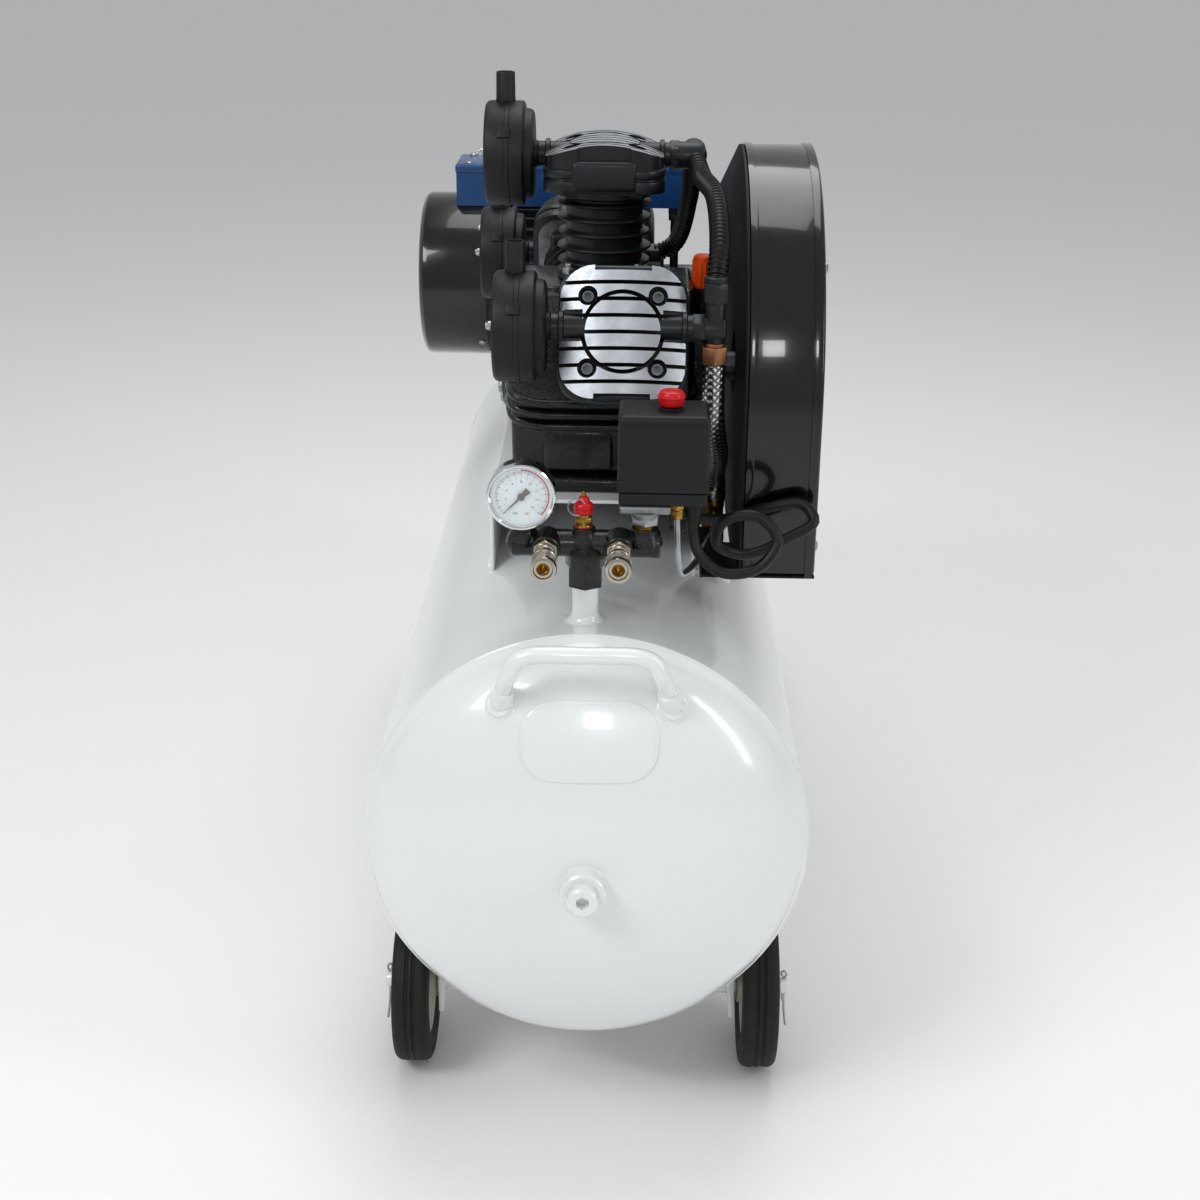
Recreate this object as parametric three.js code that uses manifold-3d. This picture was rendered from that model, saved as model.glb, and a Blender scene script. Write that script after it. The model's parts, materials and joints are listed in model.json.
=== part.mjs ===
// A three-cylinder, belt-driven air compressor on a horizontal, wheeled air tank.
//
// Millimetres, +Z up. X runs across the tank, Y runs along it from the front seam to the back, and
// Z is measured from the tank's axis. The last lines shift the whole machine so that it stands on
// Z = 0 with the middle of its bounding box above the origin.

import * as THREE from 'three';
import { mergeVertices } from 'three/addons/utils/BufferGeometryUtils.js';
import Module from 'manifold-3d';

const wasm = await Module();
wasm.setup();

// ---------------------------------------------------------------------------------------------
// Driving dimensions
// ---------------------------------------------------------------------------------------------

const GAP = 0.3; // between two pieces that touch
const TUBE_GAP = 0.8; // between a bent tube's slightly tilted end and its fitting
const TANK_SIDES = 30; // flats round the tank's shell and heads

const tank = { radius: 200, wall: 4, length: 1100, dome: 84, skirt: 22, beadRadius: 3 };
const plug = { radius: 13.5, length: 12, bossRadius: 20, bossLength: 14, socket: 6 };
const handle = { footX: 73, footZ: 152, barX: 60, barY: -64, barRise: 9, rod: 7.5, sleeve: 10 };
const wheel = { radius: 80, width: 35, rimRadius: 52, bore: 8.4, tankClearance: 4, axleDrop: 17 };
const axle = { radius: 8, frontY: 100, rearInset: 100, plate: 5, plateLength: 60, spread: 140 };
const drain = { y: 550, radius: 8, boss: 12, bossLength: 12 };
const riser = { x: -3, y: 40, radius: 11.5, height: 32 };

const platform = { halfWidth: 100, plate: 4, rise: 50, frontY: 215, length: 665 };

const manifold = { radius: 12, left: -68, right: 62, rise: 71, hexRadius: 15 };
const gauge = { x: -58, radius: 30, depth: 26, rise: 46, bezel: 3.5, needle: 21 };
const safety = { x: -5, hexRadius: 8, hexHeight: 8 };
const coupler = { xs: { left: -37, right: 26 }, reach: 66, radius: 8, sleeveRadius: 10.5 };
const control = { x0: 24, width: 78, depth: 58, height: 81, base: 13, y: 30, lift: 24, portX: 48 };

const pump = {
  y: 330, axisHeight: 105, tilt: 68, spacing: 20, middleX: 6,
  left: -80, right: 92, wall: 16, endWall: 30, seat: 88,
};
const cylinder = { bore: 32.5, wall: 4.5, fin: 45, fins: 5, length: 88 };
const head = {
  width: 115, depth: 119, slab: 22, height: 45, ribs: 6, rib: 6, port: 28, portOffset: 6,
};
const piston = { wall: 3, crown: 6, height: 42, clearance: 0.4 };
const crank = { throw: 20, pin: 11, journal: 14, web: 10, webRadius: 46 };
const rod = { length: 118, bigEnd: 19, smallEnd: 8, width: 17 };
const filter = { radius: 50, depth: 38, reach: 76, snorkel: 9, snorkelLength: 26 };
const bearing = { radius: 44, length: 22 };
const oilCap = { radius: 9, neck: 34, height: 32 };

const belt = { width: 30, thickness: 7, seatGap: 0.6 };
const flywheel = { pitch: 156, left: 148, width: 42, rim: 22, hub: 28, spokes: 5 };
const pulley = { pitch: 52 };
const guard = {
  clearance: 51, motorClearance: 41, lift: 8, left: 136, right: 206, sheet: 2.5,
  frontDrop: 144, drop: 170,
};

const motor = {
  distance: 440, shaftHeight: 100, left: -135, right: 60, frame: 84, fin: 95, stator: 63,
  rotor: 60, shaft: 14, coverEnd: -217, cover: 97, fins: 12,
};
const capacitors = { left: -175, right: 96, depth: 80, height: 42 };

const pipe = { radius: 9.5, hose: 11, tube: 3, cable: 5 };
const checkValve = { x: 118, y: 275, socket: 15, radius: 11, height: 48 };

// ---------------------------------------------------------------------------------------------
// Places worked out from them
// ---------------------------------------------------------------------------------------------

const radians = THREE.MathUtils.degToRad;
const surfaceZ = (x, lift = 0) => Math.sqrt((tank.radius + lift) ** 2 - x ** 2);

const platformTop = tank.radius + platform.rise;
const crankZ = platformTop + pump.axisHeight;
const motorY = pump.y + motor.distance;
const motorZ = platformTop + motor.shaftHeight;
const manifoldZ = tank.radius + manifold.rise;
const controlZ = manifoldZ + manifold.radius + control.lift;
const axleZ = -(tank.radius + wheel.axleDrop);
const wheelInner = Math.sqrt(
  (tank.radius + wheel.tankClearance) ** 2 - (axleZ + wheel.radius) ** 2,
);
const wheelMiddle = wheelInner + wheel.width / 2;
const cylinders = [
  { name: 'front', x: pump.middleX + pump.spacing, tilt: pump.tilt },
  { name: 'middle', x: pump.middleX, tilt: 0 },
  { name: 'rear', x: pump.middleX - pump.spacing, tilt: -pump.tilt },
];
const headBottom = pump.seat + cylinder.length + 2 * GAP;
const portHeight = headBottom + head.port;
const flywheelSeat = flywheel.pitch - belt.thickness / 2 - belt.seatGap;
const pulleySeat = pulley.pitch - belt.thickness / 2 - belt.seatGap;

// The knob's stem, the unloader's fitting and the motor lead's gland on the pressure switch
const knobStem = { x: control.x0 + 45, y: control.y + control.depth / 2, radius: 5, hole: 5.5 };
const unloader = { x: control.x0 + 52, y: control.y + 18 };
const cable = {
  x: control.x0 + 66, y: control.y + 22, riseX: 84, riseY: motorY - 24, hole: 9,
};

// ---------------------------------------------------------------------------------------------
// Solids
// ---------------------------------------------------------------------------------------------

/** A closed three.js geometry as a manifold-3d solid. */
function solid(geometry) {
  const bare = new THREE.BufferGeometry();
  bare.setAttribute('position', geometry.getAttribute('position'));
  bare.setIndex(geometry.index);
  const merged = mergeVertices(bare, 1e-3);
  const corners = merged.index.array;
  const triangles = [];
  for (let i = 0; i < corners.length; i += 3) {
    const [a, b, c] = corners.subarray(i, i + 3);
    if (a !== b && b !== c && c !== a) triangles.push(a, b, c);
  }
  return new wasm.Manifold(new wasm.Mesh({
    numProp: 3,
    vertProperties: new Float32Array(merged.getAttribute('position').array),
    triVerts: new Uint32Array(triangles),
  }));
}

const join = (...parts) => parts.reduce((all, part) => all.add(part));
const cut = (body, ...tools) => tools.reduce((left, tool) => left.subtract(tool), body);

function box(x0, x1, y0, y1, z0, z1) {
  const geometry = new THREE.BoxGeometry(Math.abs(x1 - x0), Math.abs(y1 - y0), Math.abs(z1 - z0));
  geometry.translate((x0 + x1) / 2, (y0 + y1) / 2, (z0 + z1) / 2);
  return solid(geometry);
}

/** A rotation that takes +Y, the axis of a lathe and a cylinder, to a direction. */
function turnTo(direction) {
  const up = new THREE.Vector3(0, 1, 0);
  return new THREE.Matrix4().makeRotationFromQuaternion(
    new THREE.Quaternion().setFromUnitVectors(up, direction.clone().normalize()),
  );
}

/** A round bar between two points, with an end radius of its own where one is given. */
function bar(from, to, radius, sides = 12, endRadius = radius) {
  const a = new THREE.Vector3(...from);
  const b = new THREE.Vector3(...to);
  const geometry = new THREE.CylinderGeometry(
    endRadius, radius, a.distanceTo(b), sides, 1, false, Math.PI / sides,
  );
  geometry.applyMatrix4(turnTo(b.clone().sub(a)));
  geometry.translate(...a.add(b).multiplyScalar(0.5));
  return solid(geometry);
}

/** A profile of [radius, distance along the axis] turned around an axis that starts at a point. */
function turned(profile, origin, direction, sides = 32) {
  const points = profile.map(([r, d]) => new THREE.Vector2(r, d));
  const geometry = new THREE.LatheGeometry(points, sides, Math.PI / sides);
  geometry.applyMatrix4(turnTo(new THREE.Vector3(...direction)));
  geometry.translate(...origin);
  return solid(geometry);
}

function outline(points) {
  return new THREE.Shape(points.map(([a, b]) => new THREE.Vector2(a, b)));
}

/** An outline in (y, z), extruded from x0 to x1. */
function alongX(shape, x0, x1) {
  const geometry = new THREE.ExtrudeGeometry(shape, { depth: x1 - x0, bevelEnabled: false });
  geometry.applyMatrix4(new THREE.Matrix4().makeBasis(
    new THREE.Vector3(0, 1, 0), new THREE.Vector3(0, 0, 1), new THREE.Vector3(1, 0, 0),
  ));
  geometry.translate(x0, 0, 0);
  return solid(geometry);
}

/** An outline in (x, z), extruded from y0 to y1. */
function alongY(shape, y0, y1) {
  const geometry = new THREE.ExtrudeGeometry(shape, { depth: y1 - y0, bevelEnabled: false });
  geometry.rotateX(Math.PI / 2);
  geometry.translate(0, y1, 0);
  return solid(geometry);
}

/** An outline in (x, y), extruded from z0 to z1. */
function alongZ(shape, z0, z1) {
  const geometry = new THREE.ExtrudeGeometry(shape, { depth: z1 - z0, bevelEnabled: false });
  geometry.translate(0, 0, z0);
  return solid(geometry);
}

/** A round tube of one radius through a list of points. */
function tube(points, radius, steps, sides = 10) {
  const path = new THREE.CatmullRomCurve3(points.map((p) => new THREE.Vector3(...p)));
  const ring = [];
  for (let i = 0; i < sides; i += 1) {
    const angle = (2 * Math.PI * i) / sides;
    ring.push([radius * Math.cos(angle), radius * Math.sin(angle)]);
  }
  return solid(new THREE.ExtrudeGeometry(outline(ring), { steps, extrudePath: path }));
}

/** A rectangle with round corners, centred on a point. */
function roundedRectangle(x, y, width, height, radius, steps = 3) {
  const points = [];
  for (let corner = 0; corner < 4; corner += 1) {
    const sx = corner === 0 || corner === 3 ? 1 : -1;
    const sy = corner < 2 ? 1 : -1;
    for (let i = 0; i <= steps; i += 1) {
      const angle = (Math.PI / 2) * (corner + i / steps);
      points.push([
        x + sx * (width / 2 - radius) + radius * Math.cos(angle),
        y + sy * (height / 2 - radius) + radius * Math.sin(angle),
      ]);
    }
  }
  return outline(points);
}

const hexagon = (from, to, radius) => bar(from, to, radius, 6);

// ---------------------------------------------------------------------------------------------
// Materials and the scene graph
// ---------------------------------------------------------------------------------------------

const paint = {
  white: { color: 0xeef0ee, roughness: 0.3, metalness: 0 },
  black: { color: 0x0b0c0d, roughness: 0.3, metalness: 0.1 },
  castBlack: { color: 0x14161a, roughness: 0.45, metalness: 0.2 },
  plastic: { color: 0x161719, roughness: 0.5, metalness: 0 },
  rubber: { color: 0x1b1b1c, roughness: 0.85, metalness: 0 },
  steel: { color: 0xb4b6b8, roughness: 0.35, metalness: 1 },
  iron: { color: 0x5b5d60, roughness: 0.5, metalness: 1 },
  aluminium: { color: 0xc9cbce, roughness: 0.35, metalness: 1 },
  brass: { color: 0xb89a5a, roughness: 0.35, metalness: 1 },
  red: { color: 0xd3262c, roughness: 0.4, metalness: 0 },
  orange: { color: 0xf2661c, roughness: 0.4, metalness: 0 },
  blue: { color: 0x1d5f9e, roughness: 0.35, metalness: 0.1 },
};

/** Adds one named mesh to a group. */
function place(group, name, body, finish) {
  const { vertProperties, triVerts } = body.getMesh();
  const geometry = new THREE.BufferGeometry();
  geometry.setAttribute('position', new THREE.BufferAttribute(vertProperties, 3));
  geometry.setIndex(new THREE.BufferAttribute(triVerts, 1));
  geometry.computeVertexNormals();
  const mesh = new THREE.Mesh(geometry, new THREE.MeshStandardMaterial(paint[finish]));
  mesh.name = name;
  group.add(mesh);
  return mesh;
}

const machine = new THREE.Group();

// ---------------------------------------------------------------------------------------------
// Air tank
// ---------------------------------------------------------------------------------------------

/** Quarter ellipse of a head's outside or inside, as [radius, height] from the rim to the pole. */
function domeCurve(radius, depth, steps) {
  const points = [];
  for (let i = 0; i <= steps; i += 1) {
    const angle = (Math.PI / 2) * (i / steps);
    points.push([radius * Math.cos(angle), depth * Math.sin(angle)]);
  }
  points[steps][0] = 0;
  return points;
}

function tankHead() {
  const outer = tank.radius - tank.wall - GAP;
  const outside = domeCurve(outer, tank.dome, 5);
  const inside = domeCurve(outer - tank.wall, tank.dome - tank.wall, 4).reverse();
  const bead = tank.beadRadius;
  return [
    ...inside,
    [outer - tank.wall, -tank.skirt],
    [outer, -tank.skirt],
    [outer, GAP],
    [outer + tank.wall, GAP],
    [outer + tank.wall * 0.7, bead],
    ...outside.slice(1),
  ];
}

function makeTank() {
  const shellWall = [
    [tank.radius, 0],
    [tank.radius, tank.length],
    [tank.radius - tank.wall, tank.length],
    [tank.radius - tank.wall, 0],
    [tank.radius, 0],
  ];
  const inside = tank.radius - tank.wall;
  const riserFoot = [riser.x, riser.y, inside + 1];
  const shell = join(
    turned(shellWall, [0, 0, 0], [0, 1, 0], TANK_SIDES),
    bar(riserFoot, [riser.x, riser.y, tank.radius + riser.height], riser.radius),
    bar(riserFoot, [riser.x, riser.y, tank.radius + 4], riser.radius + 5),
    bar([0, drain.y, -inside - 1], [0, drain.y, -tank.radius - drain.bossLength], drain.boss),
    cut(
      bar(
        [checkValve.x, checkValve.y, surfaceZ(checkValve.x) - 18],
        [checkValve.x, checkValve.y, surfaceZ(checkValve.x) + 24],
        checkValve.socket,
      ),
      bar([0, checkValve.y - 30, 0], [0, checkValve.y + 30, 0], inside + 1, TANK_SIDES),
    ),
  );
  place(machine, 'tank_shell', shell, 'white');

  const bossEnd = tank.dome + plug.bossLength;
  const plugEnd = bossEnd + plug.length;
  const frontHead = cut(
    join(
      turned(tankHead(), [0, 0, 0], [0, -1, 0], TANK_SIDES),
      bar([0, 8 - tank.dome, 0], [0, -bossEnd, 0], plug.bossRadius, 16),
      bar([0, 1 - bossEnd, 0], [0, -plugEnd, 0], plug.radius, 16),
    ),
    hexagon([0, 8 - plugEnd, 0], [0, -plugEnd - 1, 0], plug.socket),
  );
  place(machine, 'tank_head_front', frontHead, 'white');
  const rearHead = turned(tankHead(), [0, tank.length, 0], [0, 1, 0], TANK_SIDES);
  place(machine, 'tank_head_rear', rearHead, 'white');

  const screwTop = -tank.radius - drain.bossLength - GAP;
  const screw = join(
    bar([0, drain.y, screwTop], [0, drain.y, -tank.radius - 32], drain.radius),
    box(-16, 16, drain.y - 3, drain.y + 3, -tank.radius - 38, -tank.radius - 28),
  );
  place(machine, 'drain_screw', screw, 'brass');
}

/** A bent rod whose feet are welded to the front head, with a short sleeve on each leg. */
function makeHandle() {
  const outer = tank.radius - tank.wall;
  const domeY = (x, z) => -tank.dome * Math.sqrt(Math.max(0, 1 - (x * x + z * z) / outer ** 2));
  const { footX, footZ } = handle;
  const footY = domeY(footX, footZ);
  const barZ = tank.radius + handle.barRise;
  const legs = [-1, 1].map((side) => ({
    foot: [side * footX, footY + 6, footZ - 4],
    sleeve: [side * (footX - 3), footY - 8, footZ + 20],
  }));
  const points = [
    legs[0].foot,
    legs[0].sleeve,
    [-handle.barX - 4, handle.barY, barZ - 16],
    [-handle.barX + 12, handle.barY - 1, barZ],
    [0, handle.barY - 1, barZ + 1],
    [handle.barX - 12, handle.barY - 1, barZ],
    [handle.barX + 4, handle.barY, barZ - 16],
    legs[1].sleeve,
    legs[1].foot,
  ];
  const solidHead = turned(
    [[0, -tank.skirt], [outer + GAP, -tank.skirt], [outer + GAP, 0],
      ...domeCurve(outer + GAP, tank.dome + GAP, 5).slice(1)],
    [0, 0, 0], [0, -1, 0], TANK_SIDES,
  );
  const body = cut(
    join(
      tube(points, handle.rod, 30, 8),
      ...legs.map(({ foot, sleeve }) => bar(foot, sleeve, handle.sleeve, 10)),
    ),
    solidHead,
  );
  place(machine, 'lift_handle', body, 'white');
}

makeTank();
makeHandle();

// ---------------------------------------------------------------------------------------------
// Axles and wheels
// ---------------------------------------------------------------------------------------------

/** The saddle plate that is welded under the tank, with a lug down each side for the axle. */
function axleBracket(y) {
  const inner = tank.radius - axle.plate;
  const outer = tank.radius + axle.plate;
  const edge = axle.spread;
  const arc = (radius, x0, x1) => Array.from({ length: 7 }, (_, i) => {
    const x = x0 + ((x1 - x0) * i) / 6;
    return [x, -Math.sqrt(radius ** 2 - x ** 2)];
  });
  const foot = axleZ - axle.radius - 10;
  const profile = outline([
    ...arc(inner, edge + axle.plate, -edge - axle.plate),
    [-edge - axle.plate, foot],
    [-edge, foot],
    ...arc(outer, -edge, edge),
    [edge, foot],
    [edge + axle.plate, foot],
  ]);
  const [from, to] = [y - axle.plateLength / 2, y + axle.plateLength / 2];
  const seat = bar([0, from - 1, 0], [0, to + 1, 0], tank.radius + GAP, TANK_SIDES);
  return cut(alongY(profile, from, to), seat);
}

/** One through axle with its bracket, and a washer and a split pin outside each wheel. */
function makeAxle(name, y) {
  const end = wheelInner + wheel.width + 14;
  const parts = [
    axleBracket(y),
    bar([-end, y, axleZ], [end, y, axleZ], axle.radius, 12),
  ];
  for (const side of [-1, 1]) {
    const washer = side * (wheelInner + wheel.width + 4);
    const pin = side * (end - 5);
    parts.push(
      bar([washer, y, axleZ], [washer + side * 2, y, axleZ], axle.radius + 7),
      bar([pin, y, axleZ + 14], [pin, y, axleZ - 18], 1.8, 5),
      bar([pin, y, axleZ - 16], [pin + side * 3, y - 3, axleZ - 44], 1.5, 4),
    );
  }
  place(machine, name, join(...parts), 'white');
}

/** A rubber tyre and its rim, which turn on the axle. */
function makeWheel(name, side, y) {
  const half = wheel.width / 2;
  const rim = wheel.rimRadius;
  const tread = wheel.radius;
  const tyre = [
    [rim + GAP, -half + 4],
    [rim + 8, -half],
    [tread - 7, -half],
    [tread, -half + 8],
    [tread, half - 8],
    [tread - 7, half],
    [rim + 8, half],
    [rim + GAP, half - 4],
    [rim + GAP, -half + 4],
  ];
  const hub = wheel.bore + 9;
  const rimProfile = [
    [wheel.bore, -half - 2],
    [hub, -half - 2],
    [hub, -4],
    [rim - 7, -4],
    [rim, -half + 4],
    [rim, half - 4],
    [rim - 7, 2],
    [hub, 2],
    [hub, half + 3],
    [wheel.bore, half + 3],
    [wheel.bore, -half - 2],
  ];
  const centre = [side * wheelMiddle, y, axleZ];
  place(machine, `tyre_${name}`, turned(tyre, centre, [side, 0, 0], 18), 'rubber');
  place(machine, `rim_${name}`, turned(rimProfile, centre, [side, 0, 0], 18), 'white');
}

const axleRearY = tank.length - axle.rearInset;
makeAxle('axle_front', axle.frontY);
makeAxle('axle_rear', axleRearY);
makeWheel('front_left', -1, axle.frontY);
makeWheel('front_right', 1, axle.frontY);
makeWheel('rear_left', -1, axleRearY);
makeWheel('rear_right', 1, axleRearY);

// ---------------------------------------------------------------------------------------------
// Platform
// ---------------------------------------------------------------------------------------------

function makePlatform() {
  const outer = platform.halfWidth;
  const inner = outer - platform.plate;
  const profile = outline([
    [outer, surfaceZ(outer, GAP) + 1],
    [outer, platformTop - 2],
    [outer - 2, platformTop],
    [-outer + 2, platformTop],
    [-outer, platformTop - 2],
    [-outer, surfaceZ(outer, GAP) + 1],
    [-inner, surfaceZ(inner, GAP)],
    [-inner, platformTop - platform.plate],
    [inner, platformTop - platform.plate],
    [inner, surfaceZ(inner, GAP)],
  ]);
  const plate = alongY(profile, platform.frontY, platform.frontY + platform.length);
  const cableHole = bar(
    [cable.riseX, cable.riseY, platformTop - 20], [cable.riseX, cable.riseY, platformTop + 20],
    cable.hole,
  );
  place(machine, 'platform', cut(plate, cableHole), 'white');
}

// ---------------------------------------------------------------------------------------------
// Manifold with its gauge, safety valve, couplers and pressure switch
// ---------------------------------------------------------------------------------------------

const barY = riser.y;
const manifoldTop = manifoldZ + manifold.radius;

function makeManifold() {
  const { radius } = manifold;
  const boss = (x, r) => bar([x, barY, manifoldZ], [x, barY, manifoldTop + 3], r, 12);
  const parts = [
    bar([manifold.left, barY, manifoldZ], [manifold.right, barY, manifoldZ], radius, 14),
    hexagon(
      [riser.x, barY, tank.radius + riser.height + GAP], [riser.x, barY, manifoldZ],
      manifold.hexRadius,
    ),
    boss(gauge.x, 9),
    boss(safety.x, 9),
    boss(control.portX, 11),
  ];
  for (const x of Object.values(coupler.xs)) {
    const start = barY - radius;
    parts.push(
      hexagon([x, barY, manifoldZ], [x, start - 12, manifoldZ], 11),
      bar([x, barY, manifoldZ], [x, barY - coupler.reach, manifoldZ], coupler.radius, 14),
    );
  }
  place(machine, 'manifold', join(...parts), 'castBlack');

  for (const [side, x] of Object.entries(coupler.xs)) {
    const ring = [
      [coupler.radius + 0.4, 0],
      [coupler.sleeveRadius, 0],
      [coupler.sleeveRadius + 1, 3],
      [coupler.sleeveRadius, 6],
      [coupler.sleeveRadius, 20],
      [coupler.sleeveRadius + 1, 24],
      [coupler.radius + 0.4, 24],
      [coupler.radius + 0.4, 0],
    ];
    const sleeve = turned(ring, [x, barY - coupler.reach + 22, manifoldZ], [0, -1, 0], 16);
    place(machine, `coupler_sleeve_${side}`, sleeve, 'steel');
  }
}

function makeGauge() {
  const { x, radius, depth, bezel } = gauge;
  const z = manifoldTop + gauge.rise - manifold.radius;
  const back = barY + 8;
  const glassDepth = 5;
  const caseProfile = [
    [0, 0],
    [radius - 3, 0],
    [radius - 1, 3],
    [radius - 1, depth - 5],
    [radius, depth - 4],
    [radius, depth],
    [radius - bezel, depth],
    [radius - bezel, depth - glassDepth],
    [0, depth - glassDepth],
  ];
  const body = join(
    turned(caseProfile, [x, back, z], [0, -1, 0], 24),
    hexagon([x, barY, manifoldTop + 3 + GAP], [x, barY, z - radius + 4], 7),
  );
  place(machine, 'gauge_case', body, 'steel');

  const face = back - depth + glassDepth;
  const angle = radians(-135);
  const tip = [x + gauge.needle * Math.cos(angle), z + gauge.needle * Math.sin(angle)];
  const across = [-1.2 * Math.sin(angle), 1.2 * Math.cos(angle)];
  const needle = join(
    alongY(outline([
      [x + 2 * across[0], z + 2 * across[1]],
      [x - 2 * across[0] - 7 * Math.cos(angle), z - 2 * across[1] - 7 * Math.sin(angle)],
      [x - 2 * across[0], z - 2 * across[1]],
      [tip[0] - 0.3 * across[0], tip[1] - 0.3 * across[1]],
      [tip[0] + 0.3 * across[0], tip[1] + 0.3 * across[1]],
    ]), face - 2.2, face - 1.2),
    bar([x, face - GAP, z], [x, face - 3, z], 3, 10),
  );
  place(machine, 'gauge_needle', needle, 'black');
}

function makeSafetyValve() {
  const { x } = safety;
  const base = manifoldTop + 3 + GAP;
  const shoulder = base + safety.hexHeight;
  const body = join(
    hexagon([x, barY, base], [x, barY, shoulder], safety.hexRadius),
    bar([x, barY, shoulder - 1], [x, barY, shoulder + 4], 6, 12),
    bar([x, barY, shoulder + 3], [x, barY, shoulder + 9], 2, 8),
  );
  place(machine, 'safety_valve_body', body, 'brass');

  const cap = turned([
    [2.4, 4 + GAP], [8, 4 + GAP], [8.5, 7], [8.5, 11], [6, 14], [0, 14], [0, 11], [2.4, 11],
    [2.4, 4 + GAP],
  ], [x, barY, shoulder], [0, 0, 1], 12);
  const ring = turned(
    [[6, -1.2], [8.4, -1.2], [8.4, 1.2], [6, 1.2], [6, -1.2]],
    [x, barY, shoulder + 18], [0, 1, 0], 12,
  );
  place(machine, 'safety_valve_ring', join(cap, ring), 'red');
}

function makePressureSwitch() {
  const { x0, width, depth, height, base, y, portX } = control;
  const x1 = x0 + width;
  const z = controlZ;
  const parts = [
    box(x0, x1, y, y + depth, z, z + base),
    box(x0 + 2, x0 + 44, y + 3, y + depth - 3, z - 6, z + 1),
    bar([portX, barY, z - 17], [portX, barY, z + 2], 8, 16),
    hexagon([portX, barY, manifoldTop + 3 + GAP], [portX, barY, z - 8], 12),
    hexagon([unloader.x, unloader.y, z - 13], [unloader.x, unloader.y, z + 1], 6),
    bar([cable.x, cable.y, z - 18], [cable.x, cable.y, z + 1], 9, 16),
  ];
  place(machine, 'switch_base', join(...parts), 'castBlack');

  const shell = cut(
    alongZ(
      roundedRectangle(x0 + width / 2, y + depth / 2, width, depth, 5), z + base + GAP, z + height,
    ),
    box(x0 + 3, x1 - 3, y + 3, y + depth - 3, z + base - 1, z + height - 3),
    bar(
      [knobStem.x, knobStem.y, z + height - 9], [knobStem.x, knobStem.y, z + height + 1],
      knobStem.hole, 16,
    ),
  );
  place(machine, 'switch_cover', shell, 'plastic');

  const knob = turned(
    [
      [0, -12], [knobStem.radius, -12], [knobStem.radius, 2], [10, 3], [11, 6], [11, 11], [8, 15],
      [0, 16],
    ],
    [knobStem.x, knobStem.y, z + height], [0, 0, 1], 16,
  );
  place(machine, 'switch_knob', knob, 'red');
}

// ---------------------------------------------------------------------------------------------
// Pump: crankcase, cylinders, heads, filters, pistons, rods and crankshaft
// ---------------------------------------------------------------------------------------------

const pumpGroup = new THREE.Group();
pumpGroup.position.set(0, pump.y, crankZ);
machine.add(pumpGroup);

/** A point at a distance from the crank axis along a cylinder's axis, as [y, z]. */
const along = (tilt, distance, sideways = 0) => [
  -distance * Math.sin(radians(tilt)) + sideways * Math.cos(radians(tilt)),
  distance * Math.cos(radians(tilt)) + sideways * Math.sin(radians(tilt)),
];

/** The crankcase's section in (y, z): a foot, and a seat square to each cylinder's axis. */
function crankcaseSection(inset) {
  const seat = pump.seat - inset;
  const half = 50 - inset / 2;
  const foot = -pump.axisHeight + GAP + inset;
  const flange = inset > 0 ? 0 : 15;
  return outline([
    [-80 + inset - flange, foot],
    [80 - inset + flange, foot],
    [80 - inset + flange, foot + 16],
    [80 - inset, foot + 19],
    along(-pump.tilt, seat, half),
    along(-pump.tilt, seat, -half),
    along(0, seat, half),
    along(0, seat, -half),
    along(pump.tilt, seat, half),
    along(pump.tilt, seat, -half),
    [-80 + inset, foot + 19],
    [-80 + inset - flange, foot + 16],
  ]);
}

function makeCrankcase() {
  const chamber = alongX(
    crankcaseSection(pump.wall), pump.left + pump.endWall, pump.right - pump.endWall,
  );
  const shaftHole = bar(
    [pump.left - 10, 0, 0], [pump.right + bearing.length + 1, 0, 0], crank.journal + 0.4, 16,
  );
  const bores = cylinders.map(({ x, tilt }) => bar(
    [x, ...along(tilt, pump.seat - 2 * pump.wall)], [x, ...along(tilt, pump.seat + 5)],
    cylinder.bore, 14,
  ));
  const ribs = [0, 1, 2].map((i) => {
    const z = -52 - 12 * i;
    return box(pump.left + 2, pump.right - 2, -88, -70, z, z + 5);
  });
  const neckX = pump.right + bearing.length / 2;
  const body = cut(
    join(
      alongX(crankcaseSection(0), pump.left, pump.right),
      ...ribs,
      box(pump.left + 30, pump.left + 92, -90, -78, -pump.axisHeight + 22, -pump.axisHeight + 62),
      bar([pump.right - 1, 0, 0], [pump.right + bearing.length, 0, 0], bearing.radius, 16),
      bar([pump.left + 1, 0, 0], [pump.left - 12, 0, 0], bearing.radius, 16),
      bar([neckX, 0, bearing.radius - 6], [neckX, 0, bearing.radius + oilCap.neck], 10, 16),
    ),
    chamber,
    shaftHole,
    ...bores,
    bar([neckX, 0, bearing.radius], [neckX, 0, bearing.radius + oilCap.neck + 1], 6, 16),
  );
  place(pumpGroup, 'crankcase', body, 'castBlack');

  const capZ = bearing.radius + oilCap.neck + GAP;
  const cap = join(
    bar([neckX, 0, capZ], [neckX, 0, capZ + oilCap.height], oilCap.radius, 16, oilCap.radius - 1),
    bar([neckX, 0, capZ - 14], [neckX, 0, capZ + 1], 5.5, 12),
  );
  place(pumpGroup, 'oil_filler_cap', cap, 'orange');
}

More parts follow.
